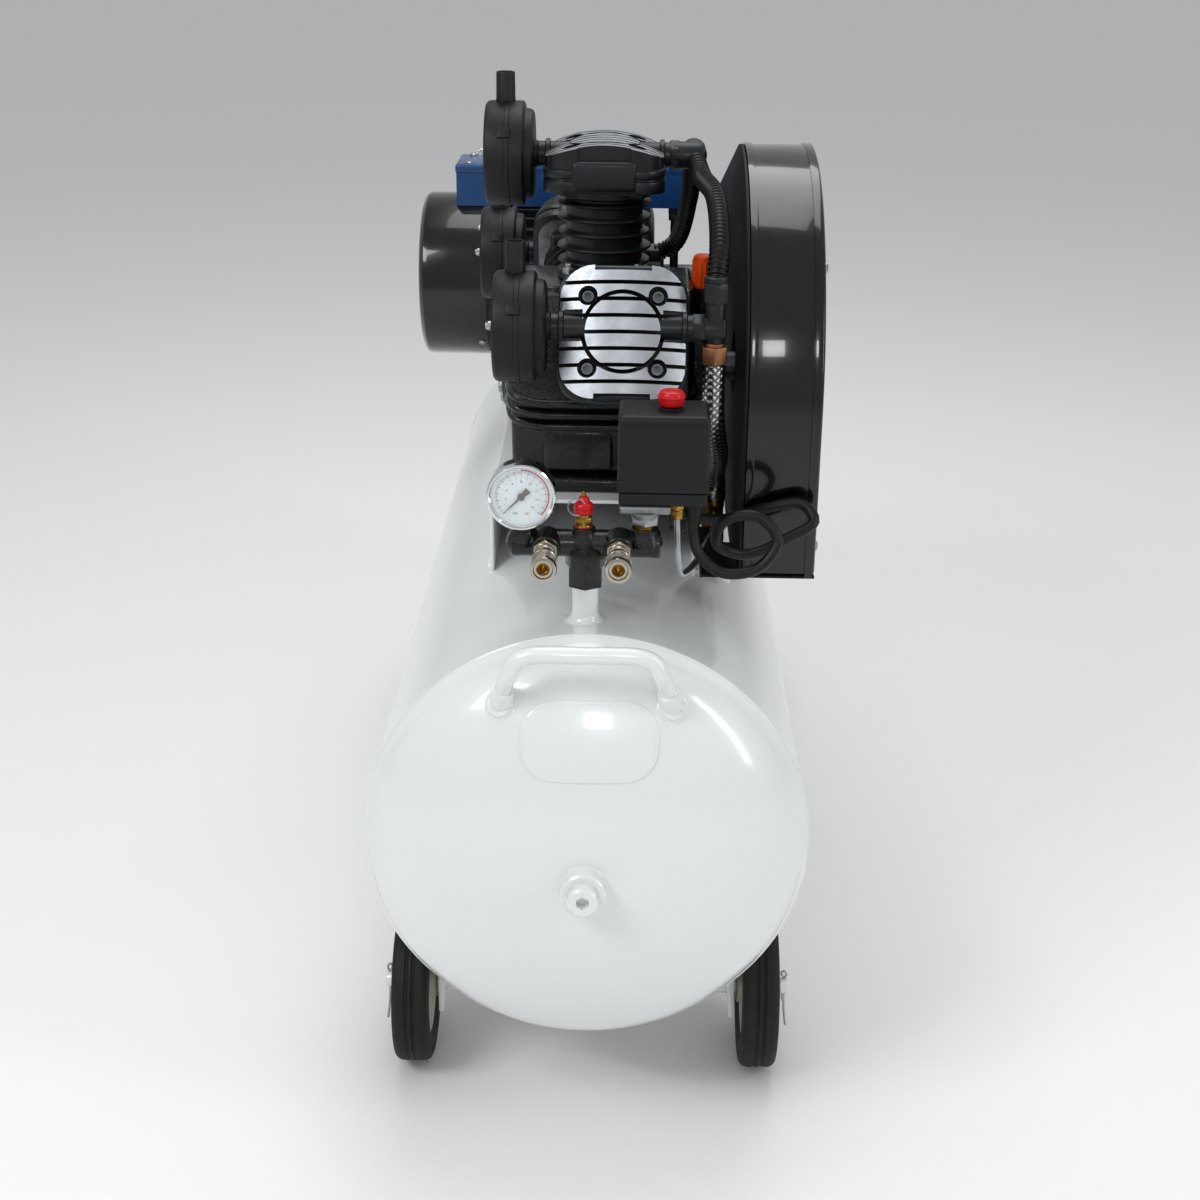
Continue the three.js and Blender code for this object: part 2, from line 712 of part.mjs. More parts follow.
function finnedBarrel() {
  const start = pump.seat + GAP;
  const end = start + cylinder.length;
  const wall = cylinder.bore + cylinder.wall;
  const pitch = (cylinder.length - 18) / cylinder.fins;
  const profile = [
    [cylinder.bore, start], [wall + 8, start], [wall + 8, start + 9], [wall, start + 9],
  ];
  for (let i = 0; i < cylinder.fins; i += 1) {
    const z = start + 9 + pitch * (i + 0.4);
    profile.push([wall, z], [cylinder.fin, z + 2.5], [wall, z + 5]);
  }
  profile.push([wall, end - 9], [wall + 9, end - 9], [wall + 9, end], [cylinder.bore, end]);
  profile.push([cylinder.bore, start]);
  return turned(profile, [0, 0, 0], [0, 0, 1], 14);
}

/** A cylinder head with arched cooling ribs, an intake stub at its left and an outlet at its right. */
function cylinderHead() {
  const z = headBottom;
  const offset = head.portOffset;
  const half = head.width / 2;
  const top = z + head.height;
  const arch = [];
  for (let i = 0; i <= 4; i += 1) {
    const x = half - 3 - ((head.width - 6) * i) / 4;
    arch.push([x, top - 14 * (x / half) ** 2]);
  }
  const ribShape = outline([[-half + 3, z + 5], [half - 3, z + 5], ...arch]);
  const pitch = (head.depth - 2 * head.rib - 6) / (head.ribs - 1);
  const first = -((head.ribs - 1) * pitch) / 2;
  const parts = [
    alongZ(roundedRectangle(0, 0, head.width, head.depth, 22), z, z + head.slab),
    box(-half + 2, half - 2, offset - 15, offset + 15, z + 1, z + head.port + 10),
    bar([0, 0, z + 1], [0, 0, top - 4], 34, 14),
    bar([-half - 6, offset, portHeight], [0, offset, portHeight], 12, 12),
    bar([0, offset, portHeight], [half + 4, offset, portHeight], 12, 12),
  ];
  for (let i = 0; i < head.ribs; i += 1) {
    const y = first + pitch * i;
    parts.push(alongY(ribShape, y - head.rib / 2, y + head.rib / 2));
  }
  const pocket = bar([0, 0, z - 1], [0, 0, z + 8], cylinder.bore - 4, 16);
  return cut(join(...parts), pocket);
}

/** A hollow piston, at half stroke. */
function pistonBody() {
  const radius = cylinder.bore - piston.clearance;
  const top = headBottom - 2 * GAP - crank.throw - 1;
  const bottom = top - piston.height;
  const inner = radius - piston.wall;
  const profile = [
    [0, top - piston.crown], [inner, top - piston.crown], [inner, bottom], [radius, bottom],
    [radius, top], [0, top],
  ];
  return turned(profile, [0, 0, 0], [0, 0, 1], 14);
}

/** A rod that stands parallel to its cylinder's axis, with its big end round the crankpin. */
function connectingRod(tilt) {
  const [py, pz] = [0, crank.throw];
  const [dy, dz] = along(tilt, rod.length);
  const half = rod.width / 2;
  const shank = outline([
    [py + dz * 0.05, pz - dy * 0.05], [py - dz * 0.05, pz + dy * 0.05],
    [py + dy - dz * 0.04, pz + dz + dy * 0.04], [py + dy + dz * 0.04, pz + dz - dy * 0.04],
  ].reverse());
  const body = join(
    bar([-half, py, pz], [half, py, pz], rod.bigEnd, 16),
    alongX(shank, -half + 4, half - 4),
    bar([-half + 1, py + dy, pz + dz], [half - 1, py + dy, pz + dz], rod.smallEnd, 10),
  );
  return cut(
    body,
    bar([-half - 1, py, pz], [half + 1, py, pz], crank.pin + 0.5, 16),
    bar([-half, py + dy, pz + dz], [half, py + dy, pz + dz], rod.smallEnd - 3.5, 8),
  );
}

/** An intake filter: a drum on the head's stub, with a short snorkel that points up. */
function airFilter() {
  const { radius, depth, reach } = filter;
  const profile = [
    [0, head.width / 2 + 6 + GAP], [12, head.width / 2 + 6 + GAP], [13, reach - 9],
    [radius - 4, reach - 9], [radius - 3, reach], [radius - 1, reach + 2], [radius, reach + 6],
    [radius, reach + depth - 8], [radius - 3, reach + depth - 2], [radius - 6, reach + depth],
    [0, reach + depth],
  ];
  const x = -reach - depth / 2;
  return join(
    turned(profile, [0, 0, 0], [-1, 0, 0], 16),
    bar([x, 0, radius - 6], [x, 0, radius + filter.snorkelLength], filter.snorkel, 8),
    bar([-reach - depth + 1, 0, 0], [-reach - depth - 8, 0, 0], 4, 8),
  );
}

function makeCylinders() {
  for (const { name, x, tilt } of cylinders) {
    const bank = new THREE.Group();
    bank.position.set(x, 0, 0);
    bank.rotation.x = radians(tilt);
    pumpGroup.add(bank);
    place(bank, `cylinder_${name}`, finnedBarrel(), 'castBlack');
    place(bank, `cylinder_head_${name}`, cylinderHead(), 'castBlack');
    place(bank, `piston_${name}`, pistonBody(), 'aluminium');

    const filterMesh = place(pumpGroup, `air_filter_${name}`, airFilter(), 'plastic');
    filterMesh.position.set(x, ...along(tilt, portHeight, head.portOffset));
    const rodMesh = place(pumpGroup, `connecting_rod_${name}`, connectingRod(tilt), 'aluminium');
    rodMesh.position.set(x, 0, 0);
  }
}

function makeCrankshaft() {
  const reach = pump.spacing + rod.width / 2 + 1.5;
  const pinLeft = pump.middleX - reach;
  const pinRight = pump.middleX + reach;
  const webShape = outline([
    [-16, crank.throw + 10], [-26, -4], [-38, -14],
    ...[200, 220, 240, 260, 280, 300, 320, 340].map((angle) => [
      crank.webRadius * Math.cos(radians(angle)), crank.webRadius * Math.sin(radians(angle)),
    ]),
    [38, -14], [26, -4], [16, crank.throw + 10],
  ]);
  const body = join(
    bar([pump.left - 8, 0, 0], [pinLeft - 1, 0, 0], crank.journal, 16),
    alongX(webShape, pinLeft - crank.web, pinLeft),
    bar([pinLeft - 1, 0, crank.throw], [pinRight + 1, 0, crank.throw], crank.pin, 16),
    alongX(webShape, pinRight, pinRight + crank.web),
    bar([pinRight + 1, 0, 0], [flywheel.left + flywheel.width + 4, 0, 0], crank.journal, 16),
  );
  place(pumpGroup, 'crankshaft', body, 'iron');
}

makeCrankcase();
makeCylinders();
makeCrankshaft();

// ---------------------------------------------------------------------------------------------
// Flywheel, belt, motor and its pulley
// ---------------------------------------------------------------------------------------------

const beltLeft = flywheel.left + (flywheel.width - belt.width) / 2;

/** The closed section of a belt wheel's rim, from its inner radius to its flanges. */
function rimProfile(inner, seat) {
  const left = flywheel.left;
  const right = left + flywheel.width;
  const flange = seat + belt.thickness + 1;
  return [
    [inner, left], [flange, left], [flange, beltLeft - 4], [seat, beltLeft - 1],
    [seat, beltLeft + belt.width + 1], [flange, beltLeft + belt.width + 4], [flange, right],
    [inner, right], [inner, left],
  ];
}

function makeFlywheel() {
  const right = flywheel.left + flywheel.width;
  const innerRim = flywheelSeat - flywheel.rim + 4;
  const parts = [
    turned(rimProfile(innerRim, flywheelSeat), [0, 0, 0], [1, 0, 0], 32),
    bar([flywheel.left - 4, 0, 0], [right, 0, 0], flywheel.hub, 16),
  ];
  for (let i = 0; i < flywheel.spokes; i += 1) {
    const spoke = new THREE.BoxGeometry(10, 30, innerRim - flywheel.hub + 8);
    spoke.rotateZ(radians(35));
    spoke.translate((flywheel.left + right) / 2, 0, (innerRim + flywheel.hub) / 2);
    spoke.rotateX((2 * Math.PI * i) / flywheel.spokes);
    parts.push(solid(spoke));
  }
  const bore = bar([flywheel.left - 10, 0, 0], [right + 1, 0, 0], crank.journal + GAP, 16);
  place(pumpGroup, 'flywheel', cut(join(...parts), bore), 'castBlack');
}

/** A belt's or a guard's loop round the crank's and the motor's centre, as points in (y, z). */
function loopRound(crankRadius, motorRadius, step = 7.5) {
  const dy = motor.distance;
  const dz = motorZ - crankZ;
  const lean = Math.atan2(dz, dy);
  const open = Math.acos((crankRadius - motorRadius) / Math.hypot(dy, dz));
  const points = [];
  const arc = (cy, cz, radius, from, to) => {
    const steps = Math.max(2, Math.round(Math.abs(to - from) / radians(step)));
    for (let i = 0; i <= steps; i += 1) {
      const angle = from + ((to - from) * i) / steps;
      points.push([cy + radius * Math.cos(angle), cz + radius * Math.sin(angle)]);
    }
  };
  arc(0, 0, crankRadius, lean + open, lean + 2 * Math.PI - open);
  arc(dy, dz, motorRadius, lean - open, lean + open);
  return points;
}

function makeBelt() {
  const inner = belt.thickness / 2;
  const loop = outline(loopRound(flywheel.pitch + inner, pulley.pitch + inner));
  const hole = loopRound(flywheel.pitch - inner, pulley.pitch - inner);
  loop.holes.push(new THREE.Path(hole.map(([y, z]) => new THREE.Vector2(y, z))));
  place(pumpGroup, 'drive_belt', alongX(loop, beltLeft, beltLeft + belt.width), 'rubber');
}

const motorGroup = new THREE.Group();
motorGroup.position.set(0, motorY, motorZ);
machine.add(motorGroup);

function makeMotor() {
  const { left, right, frame, fin, stator, shaft, shaftHeight } = motor;
  const finned = [];
  for (let i = 0; i < motor.fins; i += 1) {
    const a = (2 * Math.PI * i) / motor.fins;
    const step = (2 * Math.PI) / motor.fins;
    for (const [radius, share] of [[frame, 0], [frame, 0.5], [fin, 0.6], [fin, 0.9]]) {
      finned.push([radius * Math.cos(a + share * step), radius * Math.sin(a + share * step)]);
    }
  }
  const feet = [-1, 1].flatMap((side) => [-1, 1].map((end) => box(
    end * 45 - 18, end * 45 + 18, side * 66 - 22, side * 66 + 22, -shaftHeight + GAP, -shaftHeight + 12,
  )));
  const webs = [-1, 1].map((side) => box(
    -60, 60, side * 58 - 8, side * 58 + 8, -shaftHeight + GAP, -50,
  ));
  const housing = cut(
    join(
      alongX(outline(finned), left + 12, right - 24),
      bar([left - 12, 0, 0], [left + 13, 0, 0], fin - 1, 24),
      bar([right - 25, 0, 0], [right, 0, 0], fin - 1, 24, frame - 14),
      bar([right - 1, 0, 0], [right + 12, 0, 0], 32, 14),
      ...feet,
      ...webs,
    ),
    bar([left, 0, 0], [right - 12, 0, 0], stator, 24),
    bar([left - 13, 0, 0], [right + 13, 0, 0], shaft + 0.4, 24),
  );
  place(motorGroup, 'motor_housing', housing, 'black');

  const rotor = join(
    bar([motor.coverEnd + 20, 0, 0], [flywheel.left + flywheel.width + 2, 0, 0], shaft, 24),
    bar([left + 45, 0, 0], [right - 40, 0, 0], motor.rotor, 20),
  );
  place(motorGroup, 'motor_rotor', rotor, 'iron');

  const cup = cut(
    turned([
      [0, 0], [motor.cover - 16, 0], [motor.cover - 6, 4], [motor.cover, 14],
      [motor.cover, left - 2 - motor.coverEnd], [fin - 1 + GAP, left - 2 - motor.coverEnd],
      [fin - 1 + GAP, 14], [motor.cover - 18, 3], [0, 3],
    ], [motor.coverEnd, 0, 0], [1, 0, 0], 24),
    ...[1, 2, 3, 4, 5].flatMap((row) => [-1, 1].map((side) => box(
      motor.coverEnd - 1, motor.coverEnd + 5, side * 8, side * (70 - 6 * row),
      -42 + 14 * row - 3, -42 + 14 * row + 3,
    ))),
  );
  place(motorGroup, 'fan_cover', cup, 'black');

  const bladeParts = [bar([left - 50, 0, 0], [left - 22, 0, 0], 26, 20)];
  for (let i = 0; i < 7; i += 1) {
    const blade = new THREE.BoxGeometry(26, 3, 54);
    blade.translate(left - 36, 0, 50);
    blade.rotateX((2 * Math.PI * i) / 7);
    bladeParts.push(solid(blade));
  }
  const fan = cut(join(...bladeParts), bar([left - 60, 0, 0], [left, 0, 0], shaft + GAP, 24));
  place(motorGroup, 'cooling_fan', fan, 'plastic');

  const pulleyWheel = turned(rimProfile(shaft + GAP, pulleySeat), [0, 0, 0], [1, 0, 0], 24);
  place(motorGroup, 'motor_pulley', pulleyWheel, 'castBlack');

  const boxTop = fin + GAP + capacitors.height;
  const half = capacitors.depth / 2;
  const caseBody = cut(
    alongX(
      roundedRectangle(0, boxTop - 30, capacitors.depth, 60, 6), capacitors.left, capacitors.right,
    ),
    bar([left - 80, 0, 0], [right + 80, 0, 0], motor.cover + GAP, 24),
    box(capacitors.left - 1, capacitors.right + 1, -half - 1, half + 1, 0, fin - 8),
  );
  place(motorGroup, 'capacitor_box', caseBody, 'blue');
}

makeFlywheel();
makeBelt();
makeMotor();

// ---------------------------------------------------------------------------------------------
// Belt guard
// ---------------------------------------------------------------------------------------------

/** The guard's outline in (y, z) round the crank, smaller by an inset on every side. */
function guardOutline(inset) {
  const front = flywheel.pitch + guard.clearance - inset;
  const back = pulley.pitch + guard.motorClearance + 4 - inset;
  const dz = motorZ - crankZ;
  const lean = Math.atan2(dz, motor.distance);
  const open = lean + Math.acos((front - back) / Math.hypot(motor.distance, dz));
  const points = [
    [-front, -guard.frontDrop + inset],
  ];
  const shelfEnd = platform.frontY - pump.y;
  points.push(
    [shelfEnd - inset, -guard.frontDrop + inset],
    [shelfEnd + 30 - inset, -guard.drop + inset],
    [50, -guard.drop + inset],
  );
  const sweep = (cy, cz, radius, from, to, steps) => {
    for (let i = 0; i <= steps; i += 1) {
      const angle = from + ((to - from) * i) / steps;
      points.push([cy + radius * Math.cos(angle), cz + radius * Math.sin(angle)]);
    }
  };
  sweep(motor.distance, dz + guard.lift, back, radians(-80), open, 10);
  sweep(0, guard.lift, front, open, Math.PI, 14);
  return outline(points);
}

function makeGuard() {
  const { left, right, sheet } = guard;
  const cover = cut(
    alongX(guardOutline(0), left + sheet + GAP, right),
    alongX(guardOutline(sheet), left, right - sheet),
  );
  place(pumpGroup, 'belt_guard_cover', cover, 'black');

  const shelfY = -(flywheel.pitch + guard.clearance);
  const shelfZ = -guard.frontDrop - GAP;
  const flange = platform.halfWidth + GAP;
  const lipY = platform.frontY - pump.y;
  const back = cut(
    join(
      alongX(guardOutline(0), left, left + sheet),
      box(flange + sheet, right, shelfY, lipY - 3, shelfZ - sheet, shelfZ),
      box(flange, flange + sheet, lipY + 1, lipY + 40, shelfZ - 26, shelfZ + 30),
      box(flange, flange + 14, lipY - 8, lipY + 40, shelfZ - sheet, shelfZ),
      box(left - 20, left + sheet, shelfY + 2, shelfY + 22, shelfZ - 1, shelfZ + 2),
      box(left, left + sheet, shelfY + 2, shelfY + 60, shelfZ - 1, shelfZ + 6),
    ),
    bar([left - 1, 0, 0], [left + sheet + 1, 0, 0], flywheel.hub + 8, 18),
    bar(
      [left - 1, motor.distance, motorZ - crankZ],
      [left + sheet + 1, motor.distance, motorZ - crankZ],
      motor.shaft + 12, 24,
    ),
  );
  place(pumpGroup, 'belt_guard_back', back, 'black');
}

makeGuard();

// ---------------------------------------------------------------------------------------------
// Pipes, hose, unloader tube and cable
// ---------------------------------------------------------------------------------------------

/** A cylinder head's outlet, in the machine's frame. */
function outletOf({ x, tilt }, beyond) {
  const [y, z] = along(tilt, portHeight, head.portOffset);
  return [x + head.width / 2 + 4 + GAP + beyond, pump.y + y, crankZ + z];
}

function makeDelivery() {
  const [front, middle, rear] = cylinders;
  const tee = outletOf(front, 0);
  const elbow = outletOf(middle, 0);
  const riseX = tee[0] + 20;
  const hubX = elbow[0] + 24;
  const nut = (from, to, r = 12) => hexagon(from, to, r);
  const frontPipe = join(
    bar(tee, [riseX + 10, tee[1], tee[2]], 11, 16),
    bar([riseX, tee[1], tee[2] - 14], [riseX, tee[1], tee[2] + 26], 9, 16),
    nut([riseX, tee[1], tee[2] + 24], [riseX, tee[1], tee[2] + 42]),
    nut([riseX, tee[1], tee[2] - 31], [riseX, tee[1], tee[2] - 12], 13),
    tube([
      [riseX, tee[1], tee[2] + 38],
      [riseX + 3, tee[1] + 22, tee[2] + 66],
      [riseX + 1, tee[1] + 90, tee[2] + 100],
      [hubX + 6, elbow[1] - 34, elbow[2] - 14],
      [hubX, elbow[1], elbow[2]],
    ], pipe.radius, 16, 8),
    bar(elbow, [hubX + 10, elbow[1], elbow[2]], 13, 16),
    bar([hubX, elbow[1], elbow[2]], [hubX, elbow[1] + 20, elbow[2]], 12, 16),
  );
  place(machine, 'delivery_pipe_front', frontPipe, 'castBlack');

  const stub = outletOf(rear, 0);
  const union = [hubX, elbow[1] + 20 + GAP, elbow[2]];
  const rearPipe = join(
    nut(stub, [stub[0] + 16, stub[1], stub[2]]),
    tube([
      [stub[0] + 8, stub[1], stub[2]],
      [stub[0] + 30, stub[1] - 4, stub[2] + 12],
      [hubX, stub[1] - 50, stub[2] + 70],
      [hubX, union[1] + 40, union[2] - 4],
      [hubX, union[1] + 8, union[2]],
    ], pipe.radius, 14, 8),
    bar(union, [hubX, union[1] + 14, union[2]], 12, 16),
  );
  place(machine, 'delivery_pipe_rear', rearPipe, 'castBlack');

  const { x, y } = checkValve;
  const seatZ = surfaceZ(x) + 24;
  const valveTop = seatZ + checkValve.height;
  const portZ = seatZ + 34;
  const valve = join(
    hexagon([x, y, seatZ + GAP], [x, y, seatZ + 18], checkValve.radius + 2),
    bar([x, y, seatZ + 17], [x, y, valveTop], checkValve.radius, 20),
    bar([x, y, portZ], [x, y - 20, portZ], 5, 12),
  );
  place(machine, 'check_valve', valve, 'brass');

  const hoseTop = tee[2] - 31 - TUBE_GAP;
  const hose = tube([
    [riseX, tee[1], hoseTop],
    [riseX, tee[1], hoseTop - 12],
    [riseX + 1, tee[1] + 4, hoseTop - 50],
    [x - 2, tee[1] + 50, valveTop + 74],
    [x, y - 14, valveTop + 34],
    [x, y, valveTop + 14],
    [x, y, valveTop + TUBE_GAP],
  ], pipe.hose, 20, 10);
  place(machine, 'discharge_hose', hose, 'steel');

  const start = controlZ - 13 - TUBE_GAP;
  const unloaderTube = tube([
    [unloader.x, unloader.y, start],
    [unloader.x + 2, unloader.y - 4, start - 34],
    [unloader.x + 4, unloader.y + 4, start - 54],
    [unloader.x + 20, unloader.y + 60, start - 64],
    [x - 8, y - 90, portZ + 3],
    [x, y - 46, portZ],
    [x, y - 20 - TUBE_GAP, portZ],
  ], pipe.tube, 30, 6);
  place(machine, 'unloader_tube', unloaderTube, 'aluminium');
}

/** The motor lead: out of the switch's gland, two loops of slack, then under the platform. */
function makeCable() {
  const { x, y, riseX, riseY } = cable;
  const z = controlZ - 18 - TUBE_GAP;
  const under = (platformTop - platform.plate + surfaceZ(riseX - 4)) / 2;
  const points = [
    [x, y, z],
    [x, y, z - 8],
    [x + 5, y - 6, z - 26],
    [x + 26, y - 14, z - 42],
    [x + 58, y - 12, z - 38],
    [x + 74, y - 4, z - 14],
    [x + 56, y + 4, z + 4],
    [x + 28, y + 8, z - 2],
    [x + 22, y + 16, z - 26],
    [x + 50, y + 26, z - 40],
    [x + 88, y + 34, z - 26],
    [x + 110, y + 44, z - 14],
    [x + 100, y + 56, z - 2],
    [x + 66, y + 60, z - 8],
    [x + 34, y + 70, z - 22],
    [x + 12, y + 104, z - 34],
    [riseX - 4, platform.frontY - 12, under + 12],
    [riseX - 4, platform.frontY + 40, under],
    [riseX - 4, platform.frontY + 240, under],
    [riseX - 4, riseY - 60, under],
    [riseX, riseY - 8, under + 14],
    [riseX, riseY, platformTop + 10],
    [riseX, riseY, platformTop + 90],
    [riseX, riseY, motorZ + motor.fin - 8 - TUBE_GAP],
  ];
  place(machine, 'motor_cable', tube(points, pipe.cable, 54, 6), 'rubber');
}

makePlatform();
makeManifold();
makeGauge();
makeSafetyValve();
makePressureSwitch();
makeDelivery();
makeCable();

// ---------------------------------------------------------------------------------------------
// Stand the machine on Z = 0, with the middle of its box over the origin
// ---------------------------------------------------------------------------------------------

const part = new THREE.Group();
part.add(machine);
part.updateMatrixWorld(true);
const bounds = new THREE.Box3().setFromObject(machine, true);
const middle = bounds.getCenter(new THREE.Vector3());
machine.position.set(-middle.x, -middle.y, -bounds.min.z);

export default part;
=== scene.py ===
# %% [markdown]
# # A belt-driven air compressor on a wheeled tank
#
# The machine is a long white steel tank lying on four wheels. A three-cylinder pump, an electric motor and
# a belt guard stand on a platform over it, and the outlets, gauge and pressure switch sit on a manifold at
# the front. The CAD frame already holds every part at its true size, so this lesson only gives the parts
# their fine shape and their finish. The frame is loaded first, and everything is placed from its boxes
# and its joint axes.

# %% Load the frame
import json
import math
import bpy
from mathutils import Matrix, Vector


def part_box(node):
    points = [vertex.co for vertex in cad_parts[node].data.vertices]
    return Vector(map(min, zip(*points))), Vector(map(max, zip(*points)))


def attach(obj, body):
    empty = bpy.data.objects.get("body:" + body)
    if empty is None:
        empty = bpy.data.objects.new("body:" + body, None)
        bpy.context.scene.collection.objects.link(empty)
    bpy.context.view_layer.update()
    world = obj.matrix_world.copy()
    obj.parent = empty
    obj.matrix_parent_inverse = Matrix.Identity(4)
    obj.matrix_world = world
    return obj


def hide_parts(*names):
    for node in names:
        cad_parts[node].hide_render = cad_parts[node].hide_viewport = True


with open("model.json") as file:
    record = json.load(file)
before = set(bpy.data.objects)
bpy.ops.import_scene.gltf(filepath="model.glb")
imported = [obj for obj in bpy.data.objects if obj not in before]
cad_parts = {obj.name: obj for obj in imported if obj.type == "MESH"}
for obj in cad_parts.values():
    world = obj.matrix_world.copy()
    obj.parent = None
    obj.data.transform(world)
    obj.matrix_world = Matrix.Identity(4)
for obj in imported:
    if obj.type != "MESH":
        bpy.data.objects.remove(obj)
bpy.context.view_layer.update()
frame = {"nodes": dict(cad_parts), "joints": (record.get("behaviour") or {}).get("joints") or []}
NODES = frame["nodes"]
MM = 0.001

joint_place = {joint["name"]: Vector(joint["pos_m"]) for joint in frame["joints"] if "pos_m" in joint}
head_low, head_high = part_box("tank_head_front")
shell_low, shell_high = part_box("tank_shell")
SEAM = Vector(((head_low.x + head_high.x) / 2, shell_low.y, (head_low.z + head_high.z) / 2))
CRANK = joint_place["crank_spin"]
ROTOR = joint_place["rotor_spin"]
print("tank axis at the front seam, metres:", [round(v, 4) for v in SEAM])


def at(x, y, z):
    """A point in millimetres from the tank's axis at the front seam, as a point of the frame."""
    return SEAM + Vector((x, y, z)) * MM


# %% [markdown]
# ## Working by hand, in code
#
# Each piece starts as one of Blender's primitives, is shaped in edit mode, and is finished with modifiers
# that are applied. An operator acts on everything that is selected, so all is deselected before a new
# primitive comes in. Three moves make most of a machine: turning a profile on a lathe, extruding an
# outline, and cutting one solid with another.

# %% The bench tools
ALL_ROUND = 2 * math.pi
DOUBLES = 1e-6  # metres between vertices that are the same corner


def deselect():
    bpy.ops.object.select_all(action="DESELECT")


def only(piece):
    deselect()
    piece.select_set(True)
    bpy.context.view_layer.objects.active = piece


def settle(piece):
    """Moves a piece's place and turn into its mesh, so that its object sits at the origin."""
    only(piece)
    bpy.ops.object.transform_apply(location=True, rotation=True, scale=True)
    return piece


def aimed(start, direction):
    """The matrix that takes +Z to a direction and the origin to a point."""
    turn = Vector(direction).to_track_quat("Z", "Y")
    return Matrix.Translation(start) @ turn.to_matrix().to_4x4()


def first_vertex(point):
    """A mesh of one selected vertex, left in edit mode."""
    deselect()
    bpy.ops.mesh.primitive_plane_add(size=MM)
    piece = bpy.context.object
    bpy.ops.object.mode_set(mode="EDIT")
    bpy.ops.mesh.merge(type="CENTER")
    bpy.ops.transform.translate(value=point)
    return piece


def draw_to(points):
    """Extrudes the selected vertex through the points, starting from the first."""
    for here, there in zip(points, points[1:]):
        step = Vector(there) - Vector(here)
        bpy.ops.mesh.extrude_vertices_move(TRANSFORM_OT_translate={"value": step})


def close_up():
    bpy.ops.mesh.select_all(action="SELECT")
    bpy.ops.mesh.remove_doubles(threshold=DOUBLES)


def apply_modifier(piece, kind, **settings):
    only(piece)
    modifier = piece.modifiers.new(kind.title(), kind)
    for name, value in settings.items():
        setattr(modifier, name, value)
    bpy.ops.object.modifier_apply(modifier=modifier.name)
    return piece


def ease_edges(piece, width, segments=2, angle=40):
    """Rounds every edge sharper than an angle, by a width in millimetres."""
    return apply_modifier(
        piece, "BEVEL", width=width * MM, segments=segments, limit_method="ANGLE",
        angle_limit=math.radians(angle), use_clamp_overlap=True,
    )


def turned(profile, start, direction, steps=64):
    """A profile of (radius, distance) in millimetres, spun round an axis that starts at a point."""
    points = [Vector((radius * MM, 0, distance * MM)) for radius, distance in profile]
    piece = first_vertex(points[0])
    draw_to(points)
    close_up()
    bpy.ops.mesh.spin(steps=steps, angle=ALL_ROUND, center=(0, 0, 0), axis=(0, 0, 1))
    close_up()
    bpy.ops.mesh.normals_make_consistent(inside=False)
    bpy.ops.object.mode_set(mode="OBJECT")
    piece.matrix_world = aimed(start, direction)
    return settle(piece)


def extruded(outline, depth):
    """A closed outline of points in one plane, filled and extruded by a vector. Both are in metres."""
    piece = first_vertex(outline[0])
    draw_to([*outline, outline[0]])
    close_up()
    bpy.ops.mesh.edge_face_add()
    bpy.ops.mesh.extrude_region_move(TRANSFORM_OT_translate={"value": Vector(depth)})
    bpy.ops.mesh.select_all(action="SELECT")
    bpy.ops.mesh.normals_make_consistent(inside=False)
    bpy.ops.object.mode_set(mode="OBJECT")
    return settle(piece)


def block(low, high, edge=1.5, segments=3):
    """A box between two corners, with its edges eased by a width in millimetres."""
    low, high = Vector(low), Vector(high)
    deselect()
    bpy.ops.mesh.primitive_cube_add(size=1, location=(low + high) / 2)
    piece = bpy.context.object
    piece.scale = high - low
    settle(piece)
    return ease_edges(piece, edge, segments) if edge else piece


def bar(start, end, radius, sides=32, edge=0.6):
    """A straight bar between two points, with its ends eased. Six sides make a nut."""
    start, end = Vector(start), Vector(end)
    deselect()
    bpy.ops.mesh.primitive_cylinder_add(
        vertices=sides, radius=radius * MM, depth=(end - start).length, location=(0, 0, 0),
    )
    piece = bpy.context.object
    piece.matrix_world = aimed((start + end) / 2, end - start)
    settle(piece)
    return ease_edges(piece, edge, 2, 25 if sides < 9 else 40) if edge else piece


def joined(pieces):
    """Several pieces made one object."""
    deselect()
    for piece in pieces:
        piece.select_set(True)
    bpy.context.view_layer.objects.active = pieces[0]
    bpy.ops.object.join()
    return pieces[0]


def combined(piece, tool, operation="DIFFERENCE"):
    """Cuts a piece with a tool, or keeps what they share, and puts the tool away."""
    apply_modifier(piece, "BOOLEAN", object=tool, operation=operation, solver="EXACT")
    bpy.data.objects.remove(tool)
    return piece


def copied(piece, move=Matrix.Identity(4)):
    """A copy with its own mesh, moved by a matrix."""
    copy = piece.copy()
    copy.data = piece.data.copy()
    bpy.context.scene.collection.objects.link(copy)
    copy.matrix_world = move @ copy.matrix_world
    return settle(copy)


# %% [markdown]
# A pipe follows the same points as its CAD tube. A Catmull-Rom curve passes smoothly through
# them, and a curve object carries a round section along it before it is turned into a mesh. The radius may
# swell and shrink along the way, which makes a corrugated conduit out of a plain curve.

# %% Pipes through points
def between(before, start, end, after, share):
    """A point on the centripetal Catmull-Rom stretch from start to end."""
    ends = [before, start, end, after]
    knots = [0.0]
    for here, there in zip(ends, ends[1:]):
        knots.append(knots[-1] + max((there - here).length, 1e-9) ** 0.5)
    t = knots[1] + (knots[2] - knots[1]) * share
    level = ends
    for depth in (1, 2, 3):
        level = [
            level[i].lerp(level[i + 1], (t - knots[i + reach]) / (knots[i + reach + span] - knots[i + reach]))
            for i, reach, span in _knot_spans(depth)
        ]
    return level[0]


def _knot_spans(depth):
    """Where each of the three blending rounds starts, and how many knots it spans."""
    return {1: [(0, 0, 1), (1, 0, 1), (2, 0, 1)], 2: [(0, 0, 2), (1, 0, 2)], 3: [(0, 1, 1)]}[depth]


